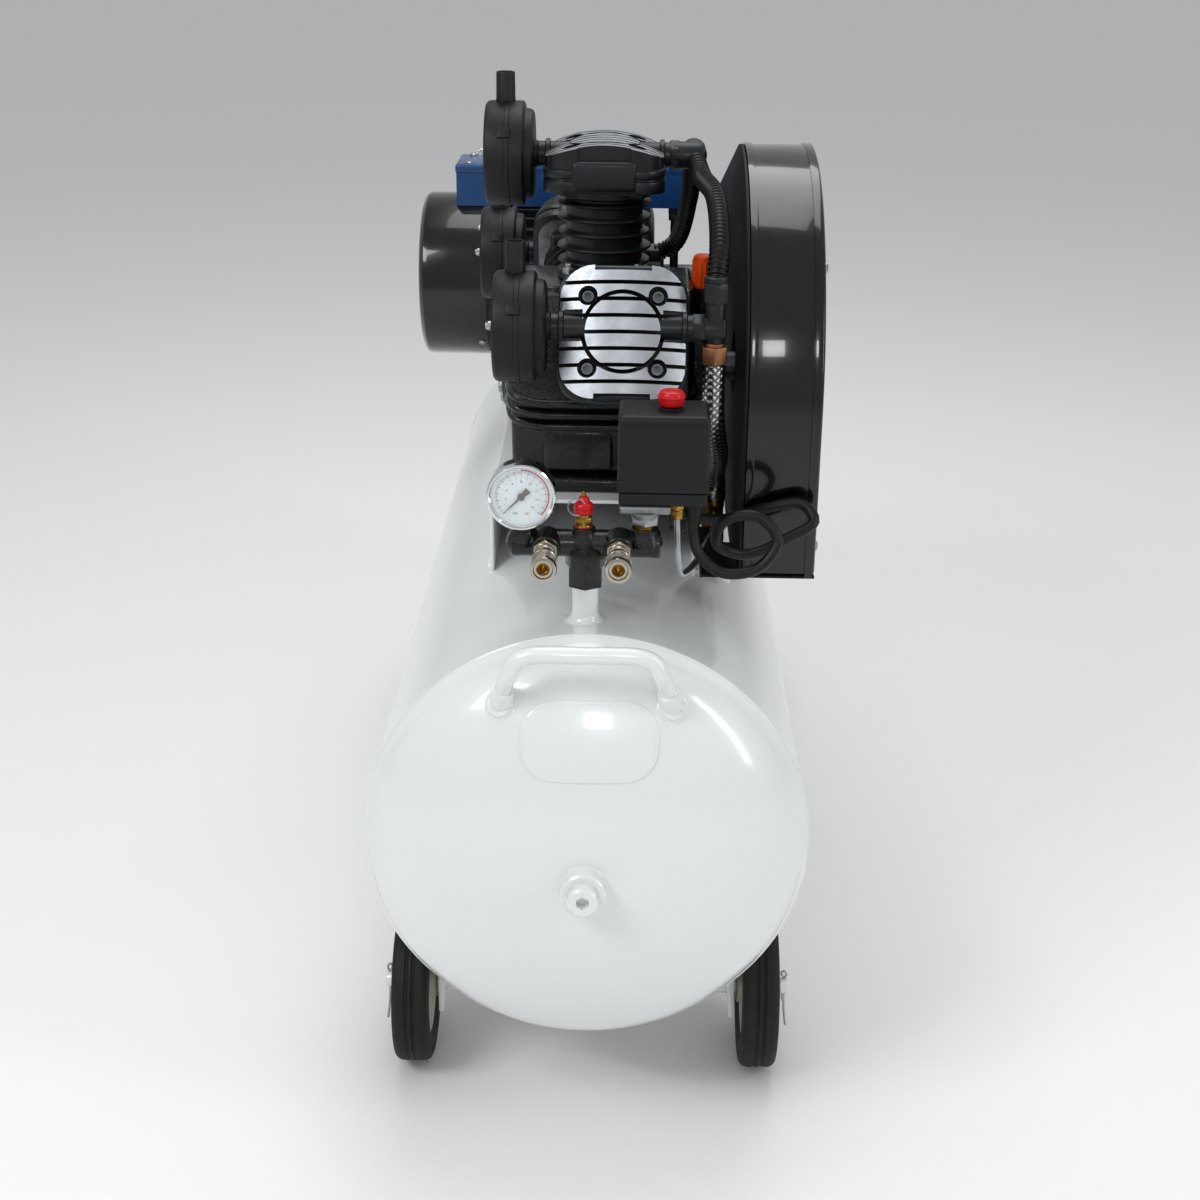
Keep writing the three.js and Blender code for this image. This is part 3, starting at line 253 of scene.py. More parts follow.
def through(points, spacing):
    """Evenly spaced points, a distance in millimetres apart, on the smooth curve through the points."""
    points = [Vector(point) for point in points]
    padded = [2 * points[0] - points[1], *points, 2 * points[-1] - points[-2]]
    fine = [
        between(*padded[i:i + 4], step / 24) for i in range(len(points) - 1) for step in range(24)
    ] + [points[-1]]
    walked = [0.0]
    for here, there in zip(fine, fine[1:]):
        walked.append(walked[-1] + (there - here).length)
    count = max(2, round(walked[-1] / (spacing * MM)))
    path, i = [], 0
    for step in range(count + 1):
        goal = walked[-1] * step / count
        while i < len(fine) - 2 and walked[i + 1] < goal:
            i += 1
        path.append(fine[i].lerp(fine[i + 1], (goal - walked[i]) / max(walked[i + 1] - walked[i], 1e-9)))
    return path


def pipe(points, radius, spacing=4, sides=16, swell=None):
    """A round pipe along the curve. swell gives the share of the radius at each step along it."""
    path = through(points, spacing)
    curve = bpy.data.curves.new("pipe", "CURVE")
    curve.dimensions = "3D"
    curve.bevel_depth = radius * MM
    curve.bevel_resolution = (sides - 4) // 2
    curve.use_fill_caps = True
    spline = curve.splines.new("POLY")
    spline.points.add(len(path) - 1)
    for i, (point, place) in enumerate(zip(spline.points, path)):
        point.co = (*place, 1)
        point.radius = swell(i) if swell else 1
    piece = bpy.data.objects.new("pipe", curve)
    bpy.context.scene.collection.objects.link(piece)
    only(piece)
    bpy.ops.object.convert(target="MESH")
    piece = bpy.context.object
    bpy.ops.object.mode_set(mode="EDIT")
    close_up()
    bpy.ops.mesh.normals_make_consistent(inside=False)
    bpy.ops.object.mode_set(mode="OBJECT")
    return piece


# %% [markdown]
# ## Finishes
#
# Almost everything here is painted metal, so the look is in the paint: powder coat on the tank, wet gloss
# enamel on the pressed guards, and a thick coat over sand castings, whose grain shows through. Every
# material is a Principled shader fed by small procedural patterns in Object coordinates, with each
# pattern's scale worked out from a size in millimetres. Colours are sRGB hex values, which one function
# turns to the linear values that the shader wants.

# %% Colours, nodes and the base of every finish
FINISHES = {}


def linear(code):
    """A hex colour such as "#eef0ee" as linear red, green, blue and alpha."""
    parts = [int(code[i:i + 2], 16) / 255 for i in (1, 3, 5)]
    return (*[p / 12.92 if p <= 0.04045 else ((p + 0.055) / 1.055) ** 2.4 for p in parts], 1)


def add(material, kind, inputs=None, **settings):
    """Adds a node, with its settings, and with its inputs set or linked."""
    tree = material.node_tree
    made = tree.nodes.new(kind)
    for name, value in settings.items():
        setattr(made, name, value)
    for name, value in (inputs or {}).items():
        if isinstance(value, bpy.types.NodeSocket):
            tree.links.new(value, made.inputs[name])
        else:
            made.inputs[name].default_value = value
    return made


def finish(name, slot, metallic=0.0, ior=1.5, coat=0.0, coat_roughness=0.05, **sockets):
    """A new material with a Principled shader, and the Object coordinates that its patterns read."""
    material = bpy.data.materials.new(name)
    material.use_nodes = True
    shader = material.node_tree.nodes["Principled BSDF"]
    shader.inputs["Metallic"].default_value = metallic
    shader.inputs["IOR"].default_value = ior
    shader.inputs["Coat Weight"].default_value = coat
    shader.inputs["Coat Roughness"].default_value = coat_roughness
    for socket, value in sockets.items():
        shader.inputs[socket.replace("_", " ").title()].default_value = value
    FINISHES[name] = material
    places = add(material, "ShaderNodeTexCoord").outputs["Object"]
    return material, shader, places


def grain(material, places, size, detail=3.0, roughness=0.55):
    """Noise whose lumps are a size in millimetres across."""
    inputs = {"Vector": places, "Scale": 1 / (size * MM), "Detail": detail, "Roughness": roughness}
    return add(material, "ShaderNodeTexNoise", inputs).outputs["Fac"]


def ramped(material, value, low, high, start=0.2, end=0.8):
    """A value taken from one range to another, which may be two colours."""
    ramp = add(material, "ShaderNodeValToRGB", {"Fac": value})
    ramp.color_ramp.elements[0].position = start
    ramp.color_ramp.elements[1].position = end
    ramp.color_ramp.elements[0].color = low if isinstance(low, tuple) else (low, low, low, 1)
    ramp.color_ramp.elements[1].color = high if isinstance(high, tuple) else (high, high, high, 1)
    return ramp.outputs["Color"]


def dress(material, shader, places, colours, rough, bump):
    """Colour (dark, light, mm), roughness (low, high, mm) and relief (depth, mm, and maybe detail)."""
    links = material.node_tree.links
    tint = grain(material, places, colours[2])
    links.new(ramped(material, tint, linear(colours[0]), linear(colours[1])), shader.inputs["Base Color"])
    haze = grain(material, places, rough[2])
    links.new(ramped(material, haze, rough[0], rough[1]), shader.inputs["Roughness"])
    height = grain(material, places, bump[1], detail=bump[2] if len(bump) > 2 else 3.0)
    relief = add(material, "ShaderNodeBump", {"Height": height, "Distance": bump[0] * MM})
    links.new(relief.outputs["Normal"], shader.inputs["Normal"])
    return relief


# %% [markdown]
# **Powder coat.** The tank and its fittings are sprayed with powder and baked. That leaves a thick, glossy
# skin of one even white, which follows the sheet's own slow unevenness. **Gloss enamel** on the pressed
# guards is wetter still, and shows the waves of the sheet under it. The guard's back plate is satin, so it
# stays dark when it is seen edge on. **Painted castings** keep the sand's grain, about two millimetres
# across, under a thick black coat.

# %% Paints
def painted_finishes():
    made = finish("white_powder_coat", "white_paint", coat=0.6, coat_roughness=0.08)
    dress(*made, ("#e8eaea", "#e8eaea", 140), (0.26, 0.26, 60), (0.04, 45, 0.0))
    made = finish("black_gloss_enamel", "black_paint", coat=0.7, coat_roughness=0.04)
    dress(*made, ("#050506", "#09090a", 60), (0.14, 0.24, 18), (0.35, 38, 1.0))
    made = finish("black_satin_enamel", "black_paint")
    dress(*made, ("#060607", "#0a0a0b", 60), (0.55, 0.68, 18), (0.2, 38, 1.0))
    made = finish("painted_sand_casting", "cast_black", coat=0.45, coat_roughness=0.12)
    dress(*made, ("#08090a", "#131416", 14), (0.2, 0.38, 5), (0.6, 2.0, 4.0))
    made = finish("painted_die_casting", "cast_aluminium_black", coat=0.15, coat_roughness=0.2)
    dress(*made, ("#14171b", "#20252b", 22), (0.32, 0.48, 9), (0.12, 1.1))
    made = finish("blue_enamel", "blue_paint", coat=0.4, coat_roughness=0.1)
    dress(*made, ("#10406f", "#174f86", 30), (0.25, 0.38, 12), (0.12, 2.6))


painted_finishes()
print("paints:", sorted(FINISHES))

# %% [markdown]
# **Metals.** A bare metal has no colour under its shine, so its Metallic is 1 and the colour is the tint
# of its reflections. Chrome and nickel plate are polished; brass and bronze fittings come from a lathe and
# keep rings too fine to draw. Zinc plate on bolts is duller. The heads' rib tops are milled, and the
# cutter's passes, half a millimetre apart in truth, are drawn at one millimetre so that they show.

# %% Bare and plated metals
def metal_finishes():
    recipes = {
        "polished_chrome": ("nickel", "#d9dadb", "#eceded", 0.06, 0.12, 0.01, 20),
        "nickel_plate": ("nickel", "#b3aca0", "#c9c3b6", 0.16, 0.28, 0.03, 4),
        "turned_brass": ("brass", "#a17f3d", "#c8a55c", 0.24, 0.38, 0.04, 2),
        "bronze_nut": ("brass", "#8a6248", "#b08768", 0.38, 0.55, 0.10, 2),
        "zinc_plate": ("steel", "#9b9da0", "#c2c4c6", 0.28, 0.42, 0.05, 3),
        "machined_iron": ("iron", "#5b5d60", "#77797c", 0.32, 0.5, 0.06, 2),
        "drawn_aluminium": ("aluminium", "#a9acb0", "#c8cbce", 0.28, 0.42, 0.03, 3),
        "grey_die_cast_zinc": ("aluminium", "#8f9193", "#a8aaab", 0.42, 0.58, 0.10, 1.2),
    }
    for name, (slot, dark, light, low, high, depth, size) in recipes.items():
        made = finish(name, slot, metallic=1.0)
        dress(*made, (dark, light, 8), (low, high, size * 3), (depth, size))


def milled_aluminium():
    material, shader, places = finish("milled_aluminium", "aluminium", metallic=1.0)
    dress(material, shader, places, ("#a4a8ad", "#c6c9cd", 16), (0.34, 0.5, 6), (0.03, 2))
    pass_width = 1.0
    stretched = add(material, "ShaderNodeMapping", {"Vector": places, "Scale": (0.04, 1.0, 1.0)})
    marks = grain(material, stretched.outputs["Vector"], pass_width, detail=1.0)
    relief = add(material, "ShaderNodeBump", {"Height": marks, "Distance": 0.06 * MM})
    material.node_tree.links.new(relief.outputs["Normal"], shader.inputs["Normal"])


metal_finishes()
milled_aluminium()

# %% [markdown]
# ** Plastics and rubber.** Moulded ABS and nylon take the fine texture of their mould, and shine only
# dully. The red and orange caps are polythene. The stainless braid on the hose is plaited from flat bundles
# of wire, so its pattern follows the hose: two sets of slanted bands in the hose's own UV map. The bands are
# bumped, and their colour is painted shade in the low parts and painted highlight where they cross.

# %% Plastics, rubber, braid, dial and glass
def plastic_finishes():
    recipes = {
        "moulded_black_abs": ("black_plastic", "#141517", "#1d1e20", 0.42, 0.55, 0.05, 0.9),
        "corrugated_nylon": ("black_plastic", "#0c0c0d", "#161617", 0.30, 0.44, 0.04, 2),
        "black_pvc": ("rubber", "#0e0e0f", "#171718", 0.34, 0.48, 0.04, 3),
        "tyre_rubber": ("tyre", "#141415", "#222223", 0.48, 0.68, 0.12, 1.4),
        "off_white_nylon": ("white_paint", "#cbcabb", "#dad9cd", 0.42, 0.58, 0.06, 2),
        "red_polythene": ("red_plastic", "#b8101a", "#d81e24", 0.28, 0.4, 0.05, 3),
        "orange_polythene": ("orange_plastic", "#e4500c", "#f8691f", 0.3, 0.42, 0.05, 3),
        "thread_sealant": ("red_plastic", "#7c1210", "#a52018", 0.4, 0.6, 0.3, 1.5),
        "printed_card": ("white_paint", "#e3ecf0", "#eaf1f4", 0.5, 0.6, 0.01, 2),
        "black_ink": ("black_plastic", "#101012", "#1a1a1c", 0.5, 0.6, 0.01, 2),
        "red_ink": ("red_plastic", "#b01822", "#c8202a", 0.5, 0.6, 0.01, 2),
    }
    for name, (slot, dark, light, low, high, depth, size) in recipes.items():
        made = finish(name, slot)
        dress(*made, (dark, light, 12), (low, high, 6), (depth, size))


def stainless_braid():
    material, shader, places = finish("stainless_braid", "steel", metallic=1.0)
    own_map = add(material, "ShaderNodeTexCoord").outputs["UV"]
    bundle = 5.0  # millimetres from one bundle of wires to the next
    one_band = 0.31831  # the wave node's scale that draws about one band in each unit of length
    heights = []
    for lean in (1, -1):
        turned_map = add(
            material, "ShaderNodeMapping", {"Vector": own_map, "Rotation": (0, 0, lean * math.radians(38))},
        )
        inputs = {"Vector": turned_map.outputs["Vector"], "Scale": one_band / (bundle * MM)}
        heights.append(add(material, "ShaderNodeTexWave", inputs).outputs["Fac"])
    weave_height_and_shade = add(material, "ShaderNodeMath", {0: heights[0], 1: heights[1]}, operation="MULTIPLY")
    links = material.node_tree.links
    # painted shade and painted highlight: one even stainless steel, coloured dark grey where the weave is low
    # and near white where its bands cross
    tint = ramped(material, weave_height_and_shade.outputs["Value"], linear("#7c7d7f"), linear("#eceef0"), 0.05, 0.6)
    links.new(tint, shader.inputs["Base Color"])
    shader.inputs["Roughness"].default_value = 0.3
    inputs = {"Height": weave_height_and_shade.outputs["Value"], "Distance": 0.35 * MM}
    relief = add(material, "ShaderNodeBump", inputs)
    links.new(relief.outputs["Normal"], shader.inputs["Normal"])


def lens_glass():
    material, shader, places = finish("lens_glass", "nickel", ior=1.5, alpha=0.12)
    shader.inputs["Base Color"].default_value = linear("#fbfdfd")
    smear = grain(material, places, 14)
    links = material.node_tree.links
    links.new(ramped(material, smear, 0.0, 0.04), shader.inputs["Roughness"])


plastic_finishes()
stainless_braid()
lens_glass()
print("finishes:", len(FINISHES))


# %% Fit a finished piece to the frame
def fit(piece, name, finish_name, body="chassis", replaces=(), smooth=32):
    """Names a piece, gives it its finish, and lets it ride on its body."""
    piece.name = name
    piece.data.name = name
    only(piece)
    bpy.ops.object.shade_smooth_by_angle(angle=math.radians(smooth))
    if not any(piece.data.materials):
        piece.data.materials.clear()
        piece.data.materials.append(FINISHES[finish_name])
    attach(piece, body)
    if replaces:
        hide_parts(*replaces)
    return piece


def repaint(node, finish_name):
    """Gives a CAD node that stays in view its finish."""
    piece = NODES[node]
    piece.data.materials.clear()
    piece.data.materials.append(FINISHES[finish_name])


# %% [markdown]
# ## Camera, floor and light
#
# The camera looks down at the front dome from a little above, with a normal lens. The floor and backdrop
# are one pale sheet. Large soft lights stand on both sides, because gloss paint shows its lights more than
# its colour: a long soft box gives the white tank its shape and draws the bright edges on the black parts.
# The Standard view keeps white paint white, and a gamma a little under 1 deepens the blacks.

# %% Camera
def make_camera():
    bpy.ops.object.camera_add(location=(0.0375, -2.005, 1.1238))
    camera = bpy.context.object
    yaw, pitch, roll = math.radians(0.81), math.radians(90 - 21.57), math.radians(0.63)
    turn = Matrix.Rotation(yaw, 3, "Z") @ Matrix.Rotation(pitch, 3, "X") @ Matrix.Rotation(roll, 3, "Z")
    camera.rotation_euler = turn.to_euler()
    camera.data.lens = 55.5
    camera.data.shift_x = -0.0008
    camera.data.shift_y = -0.0125
    camera.data.clip_end = 60
    bpy.context.scene.camera = camera


make_camera()


# %% Floor and lights
def make_stage():
    deselect()
    bpy.ops.mesh.primitive_plane_add(size=24, location=(0, 4, 0))
    floor = bpy.context.object
    floor.name = "studio_floor"
    material = bpy.data.materials.new("pale_floor")
    material.use_nodes = True
    shader = material.node_tree.nodes["Principled BSDF"]
    shader.inputs["Base Color"].default_value = linear("#f4f4f3")
    shader.inputs["Roughness"].default_value = 0.75
    floor.data.materials.append(material)


def soft_box(name, place, target, width, height, power):
    bpy.ops.object.light_add(type="AREA", location=place)
    lamp = bpy.context.object
    lamp.name = name
    lamp.data.shape = "RECTANGLE"
    lamp.data.size = width
    lamp.data.size_y = height
    lamp.data.energy = power
    lamp.rotation_euler = (Vector(target) - Vector(place)).to_track_quat("-Z", "Y").to_euler()


def make_light():
    world = bpy.data.worlds.new("studio")
    bpy.context.scene.world = world
    world.use_nodes = True
    sky = world.node_tree.nodes["Background"]
    sky.inputs["Color"].default_value = linear("#f2f4f6")
    sky.inputs["Strength"].default_value = 0.52
    middle = (0, -0.1, 0.45)
    soft_box("key_box", (-1.7, -2.0, 2.5), middle, 1.3, 1.0, 26)
    soft_box("fill_box", (2.3, -1.4, 1.6), middle, 0.35, 1.8, 12)
    soft_box("top_box", (0.1, 0.6, 3.0), middle, 1.4, 2.2, 24)
    soft_box("front_flash", (0.15, -2.9, 1.6), middle, 0.4, 0.4, 5)
    view = bpy.context.scene.view_settings
    view.view_transform = "Standard"
    view.exposure = 0.2
    view.gamma = 0.84


make_stage()
make_light()

# %% [markdown]
# ## The tank
#
# The real tank is a rolled sheet with two pressed heads welded in. It is a turned shape, so the shell and
# both domes are spun from their profiles with enough steps to look round at arm's length. The head's rim
# stands a little proud of the seam, and a bead of weld runs all round it. The boss, the riser and the drain
# are turned too, each with a fillet of weld where it meets the sheet.

# %% Shell, domes and seams
TANK_RADIUS = 200
TANK_LENGTH = (shell_high.y - shell_low.y) / MM
WALL = 4
DOME = 84
DOME_RADIUS = 195.7
ALONG = Vector((0, 1, 0))
ACROSS = Vector((1, 0, 0))
UP = Vector((0, 0, 1))


def dome_depth(x, z):
    """How far the dome stands out of the seam at a place, in millimetres."""
    return DOME * math.sqrt(max(0.0, 1 - (x * x + z * z) / DOME_RADIUS ** 2))


def tank_height(x, lift=0):
    return math.sqrt((TANK_RADIUS + lift) ** 2 - x * x)


def make_tank():
    rim = [(TANK_RADIUS, 0.6), (TANK_RADIUS, TANK_LENGTH - 0.6)]
    inside = [(TANK_RADIUS - WALL, TANK_LENGTH - 0.6), (TANK_RADIUS - WALL, 0.6)]
    shell = turned([*rim, *inside, rim[0]], at(0, 0, 0), ALONG, 144)
    fit(shell, "tank_shell_sheet", "white_powder_coat", replaces=("tank_shell",))
    quarter = [math.pi / 2 * i / 20 for i in range(21)]
    outside = [(DOME_RADIUS * math.cos(a), DOME * math.sin(a)) for a in quarter]
    lining = [((DOME_RADIUS - WALL) * math.cos(a), (DOME - WALL) * math.sin(a)) for a in reversed(quarter)]
    lip = [(DOME_RADIUS - WALL, -22), (DOME_RADIUS, -22), (DOME_RADIUS, 0.6), (200.2, 0.6), (198.6, 3.2)]
    profile = [*lining, *lip, *outside[1:]]
    for end, place, direction in (("front", 0, -ALONG), ("rear", TANK_LENGTH, ALONG)):
        dome = turned(profile, at(0, place, 0), direction, 144)
        fit(dome, f"tank_dome_{end}", "white_powder_coat", replaces=(f"tank_head_{end}",))
        deselect()
        bpy.ops.mesh.primitive_torus_add(
            major_radius=TANK_RADIUS * MM, minor_radius=1.7 * MM, major_segments=144, minor_segments=10,
        )
        bead = bpy.context.object
        bead.matrix_world = aimed(at(0, place, 0) - direction * 1.2 * MM, direction)
        fit(settle(bead), f"seam_weld_{end}", "white_powder_coat")


make_tank()


# %% Stamped plate, bung, riser and drain
def fillet(radius, foot, height, steps=6):
    """A hollow curve from a foot's radius up to a bar's radius, as the profile of a weld."""
    reach = foot - radius
    curve = []
    for i in range(steps + 1):
        angle = math.pi / 2 * i / steps
        curve.append((radius + reach * (1 - math.sin(angle)), height * (1 - math.cos(angle))))
    return curve


def make_plate():
    width, height, corner, steps = 118, 64, 28, 6
    centre_z = 128
    outline = []
    for quarter, (sx, sz) in enumerate(((1, 1), (-1, 1), (-1, -1), (1, -1))):
        for i in range(steps + 1):
            angle = math.pi / 2 * (quarter + i / steps)
            x = sx * (width / 2 - corner) + corner * math.cos(angle)
            z = centre_z + sz * (height / 2 - corner) + corner * math.sin(angle)
            outline.append(at(x + 4, -150, z))
    plate = extruded(outline, ALONG * 0.2)
    only(plate)
    bpy.ops.object.mode_set(mode="EDIT")
    bpy.ops.mesh.select_all(action="SELECT")
    for cut in range(1, 20):
        level = at(0, 0, centre_z - height / 2 + height * cut / 20)
        bpy.ops.mesh.bisect(plane_co=level, plane_no=UP)
        bpy.ops.mesh.select_all(action="SELECT")
        upright = at(-width / 2 + width * cut / 20 + 4, 0, 0)
        bpy.ops.mesh.bisect(plane_co=upright, plane_no=ACROSS)
        bpy.ops.mesh.select_all(action="SELECT")
    bpy.ops.object.mode_set(mode="OBJECT")
    front = at(0, -149.9, 0).y
    for vertex in plate.data.vertices:
        x, z = (vertex.co.x - SEAM.x) / MM, (vertex.co.z - SEAM.z) / MM
        lift = 1.3 if vertex.co.y < front else -1.0
        vertex.co.y = SEAM.y - (dome_depth(x, z) + lift) * MM
    ease_edges(plate, 1.0, 2, 50)
    fit(plate, "stamped_plate_blank", "white_powder_coat")


def make_bosses():
    tip = DOME + 14
    weld = turned([(0, DOME - 6), *[(r, DOME - 2.5 + h) for r, h in fillet(20, 26, 6)], (20, tip - 1.5),
                   (18.5, tip), (0, tip)], at(0, 0, 0), -ALONG, 48)
    fit(weld, "bung_weld", "white_powder_coat")
    plug = turned([(0, tip - 2), (13.5, tip - 2), (13.5, tip + 10.5), (12, tip + 12), (0, tip + 12)],
                  at(0, 0, 0), -ALONG, 48)
    socket = bar(at(0, -tip - 4, 0), at(0, -tip - 20, 0), 6, 6, 0)
    ease_edges(combined(plug, socket), 0.5, 2, 50)
    fit(plug, "bung_plug", "white_powder_coat")
    riser = turned([(0, -4), (21, -4), (20.5, -1.0), *[(r, h - 1.0) for r, h in fillet(11.5, 20, 9)],
                    (11.5, 31.5), (0, 31.5)], at(-3, 40, TANK_RADIUS), UP, 48)
    fit(riser, "manifold_riser", "white_powder_coat")
    drain = turned([(0, -3), (19, -3), *[(r, h - 0.6) for r, h in fillet(12, 18, 6)], (12, 11), (11, 12),
                    (0, 12)], at(0, TANK_LENGTH / 2, -TANK_RADIUS), -UP, 40)
    fit(drain, "drain_boss", "white_powder_coat")
    seat = tank_height(118)
    socket = turned([(0, -20), (20, -20), (20, -2), (15.2, 4), (15, 23), (14, 24), (0, 24)],
                    at(118, 275, seat), UP, 48)
    fit(socket, "check_valve_socket", "white_powder_coat")


make_plate()
make_bosses()

# %% [markdown]
# The lift handle is one bent rod in two short sleeves that are welded to the dome. Between its legs it is
# straight, and each bend is a tight round, so its points stand close together at the corners.

# %% Lift handle
def make_handle():
    foot_x, foot_z = 73, 152
    foot_y = -dome_depth(foot_x, foot_z)
    bar_x, bar_y, bar_z = 60, -64, 209
    rod = []
    for side in (-1, 1):
        leg = [
            (side * foot_x, foot_y + 4, foot_z - 2),
            (side * (foot_x - 3), foot_y - 8, foot_z + 20),
            (side * (bar_x + 4), bar_y + 1, bar_z - 18),
            (side * (bar_x - 2), bar_y, bar_z - 6),
            (side * (bar_x - 14), bar_y - 1, bar_z),
        ]
        rod += leg if side < 0 else leg[::-1]
    rod.insert(5, (0, bar_y - 1, bar_z + 1))
    handle = pipe([at(*point) for point in rod], 7.5, 3, 20)
    fit(handle, "lift_handle_rod", "white_powder_coat", replaces=("lift_handle",))
    for side, name in ((-1, "left"), (1, "right")):
        foot = at(side * foot_x, foot_y + 5, foot_z - 3)
        top = at(side * (foot_x - 3), foot_y - 8, foot_z + 20)
        sleeve = bar(foot, top, 10, 32, 1.2)
        fit(sleeve, f"handle_sleeve_{name}", "white_powder_coat")
        normal = Vector((side * foot_x / DOME_RADIUS ** 2, foot_y / DOME ** 2, foot_z / DOME_RADIUS ** 2))
        weld = turned([(0, -4), (16, -4), *[(r, h) for r, h in fillet(10, 15.5, 5)], (0, 6)],
                      at(side * foot_x, foot_y + 1, foot_z), normal, 32)
        fit(weld, f"handle_weld_{name}", "white_powder_coat")


make_handle()

# %% [markdown]
# ## Wheels and axles
#
# The tyres are plain solid rubber with a round shoulder and a few moulded grooves. The rims are off-white
# nylon: a hub, a web, and ribs that stop the web from buckling. Each rib is modelled once and copied round
# the hub. A saddle plate wraps the tank's belly, with a lug down each side for the axle, and a split pin
# holds every wheel on.

# %% Wheels
WHEEL = {"radius": joint_place["wheel_front_left_roll"].z / MM, "width": 35, "rim": 52, "hub": 17}


def make_wheel(corner, side):
    centre = joint_place[f"wheel_{corner}_roll"]
    half, radius, rim, hub = WHEEL["width"] / 2, WHEEL["radius"], WHEEL["rim"], WHEEL["hub"]
    out = ACROSS * side
    shoulder = [(radius - 7 + 7 * math.sin(a), half - 8 + 8 * math.cos(a)) for a in
                [math.pi / 2 * i / 6 for i in range(7)]]
    half_tread = [(rim, half - 4), (rim + 6, half), (rim + 12, half), (rim + 13, half - 1.2),
                  (rim + 17, half - 1.2), (rim + 18, half), *shoulder, (radius, 5), (radius - 1.2, 4),
                  (radius - 1.2, 2.6), (radius, 1.6)]
    tyre = turned([*half_tread, *[(r, -d) for r, d in reversed(half_tread)], half_tread[0]], centre, out, 72)
    body = f"wheel_{corner}"
    fit(tyre, f"tyre_rubber_{corner}", "tyre_rubber", body, (f"tyre_{corner}",))
    rim_half = [(8.4, half + 2.5), (hub - 1, half + 2.5), (hub, half + 1.5), (hub, 4), (rim - 8, 3),
                (rim - 5, half - 6), (rim - 4, half - 3.5), (rim + 0.4, half - 3.5)]
    web = turned([*rim_half, *[(r, -d) for r, d in reversed(rim_half)], rim_half[0]], centre, out, 72)
    parts = [web]
    for face in (-1, 1):
        low = centre + Vector((min(face * 2, face * 12) * MM, -1.6 * MM, 14 * MM))
        high = centre + Vector((max(face * 2, face * 12) * MM, 1.6 * MM, (rim - 5) * MM))
        rib = block(low, high, 0.8, 2)
        for i in range(8):
            turn = Matrix.Rotation(ALL_ROUND * i / 8, 4, "X")
            parts.append(copied(rib, Matrix.Translation(centre) @ turn @ Matrix.Translation(-centre)))
        bpy.data.objects.remove(rib)
    fit(joined(parts), f"rim_nylon_{corner}", "off_white_nylon", body, (f"rim_{corner}",))


for wheel_corner, wheel_side in (("front_left", -1), ("front_right", 1), ("rear_left", -1),
                                 ("rear_right", 1)):
    make_wheel(wheel_corner, wheel_side)


# %% Axles, saddles and split pins
def make_axle(end):
    left, right = joint_place[f"wheel_{end}_left_roll"], joint_place[f"wheel_{end}_right_roll"]
    y = (left.y - SEAM.y) / MM
    z = (left.z - SEAM.z) / MM
    reach = (right.x - SEAM.x) / MM + WHEEL["width"] / 2 + 14
    spread, sheet, low = 140, 5, z - 18
    angles = [math.asin(spread / TANK_RADIUS) * (i / 12 - 1) for i in range(25)]
    under = [(TANK_RADIUS * math.sin(a), -TANK_RADIUS * math.cos(a) - 0.4) for a in angles]
    outer = [(x * 1.024, z_ * 1.024) for x, z_ in under]
    outline = [*under, (spread + sheet, under[-1][1]), (spread + sheet, low), (spread, low),
               *[(x, z_) for x, z_ in reversed(outer) if abs(x) < spread - 1], (-spread, low),
               (-spread - sheet, low), (-spread - sheet, under[0][1])]
    saddle = extruded([at(x, y - 30, z_) for x, z_ in outline], ALONG * 60 * MM)
    ease_edges(saddle, 1.2, 2, 50)
    fit(saddle, f"axle_saddle_{end}", "white_powder_coat", replaces=(f"axle_{end}",))
    rod = bar(at(-reach, y, z), at(reach, y, z), 8, 32, 1.5)
    fit(rod, f"axle_rod_{end}", "white_powder_coat")
    for side, name in ((-1, "left"), (1, "right")):
        face = side * (reach - 10)
        washer = turned([(8.2, 0), (15, 0), (15, 1.6), (8.2, 1.6), (8.2, 0)], at(face, y, z), ACROSS * side,
                        40)
        fit(washer, f"wheel_washer_{end}_{name}", "zinc_plate")
        hole = side * (reach - 5)
        legs = [(hole, y - 1, z - 17), (hole, y, z - 8), (hole, y, z + 9), (hole - 2 * side, y, z + 14),
                (hole, y, z + 17), (hole + 3 * side, y, z + 13), (hole + 1 * side, y, z + 8),
                (hole + 1 * side, y, z - 8), (hole + 2 * side, y - 1, z - 28),
                (hole + 4 * side, y - 3, z - 44)]
        pin = pipe([at(*point) for point in legs], 1.1, 1.5, 10)
        fit(pin, f"split_pin_{end}_{name}", "zinc_plate")


make_axle("front")
make_axle("rear")

# %% [markdown]
# ## Platform
#
# One folded sheet stands on the tank's back, and short runs of weld hold its two skirts. A fold in sheet
# metal is never sharp, so its edges are eased by more than the sheet's own edges would need.

# %% Platform and its welds
PLATFORM_TOP = 250


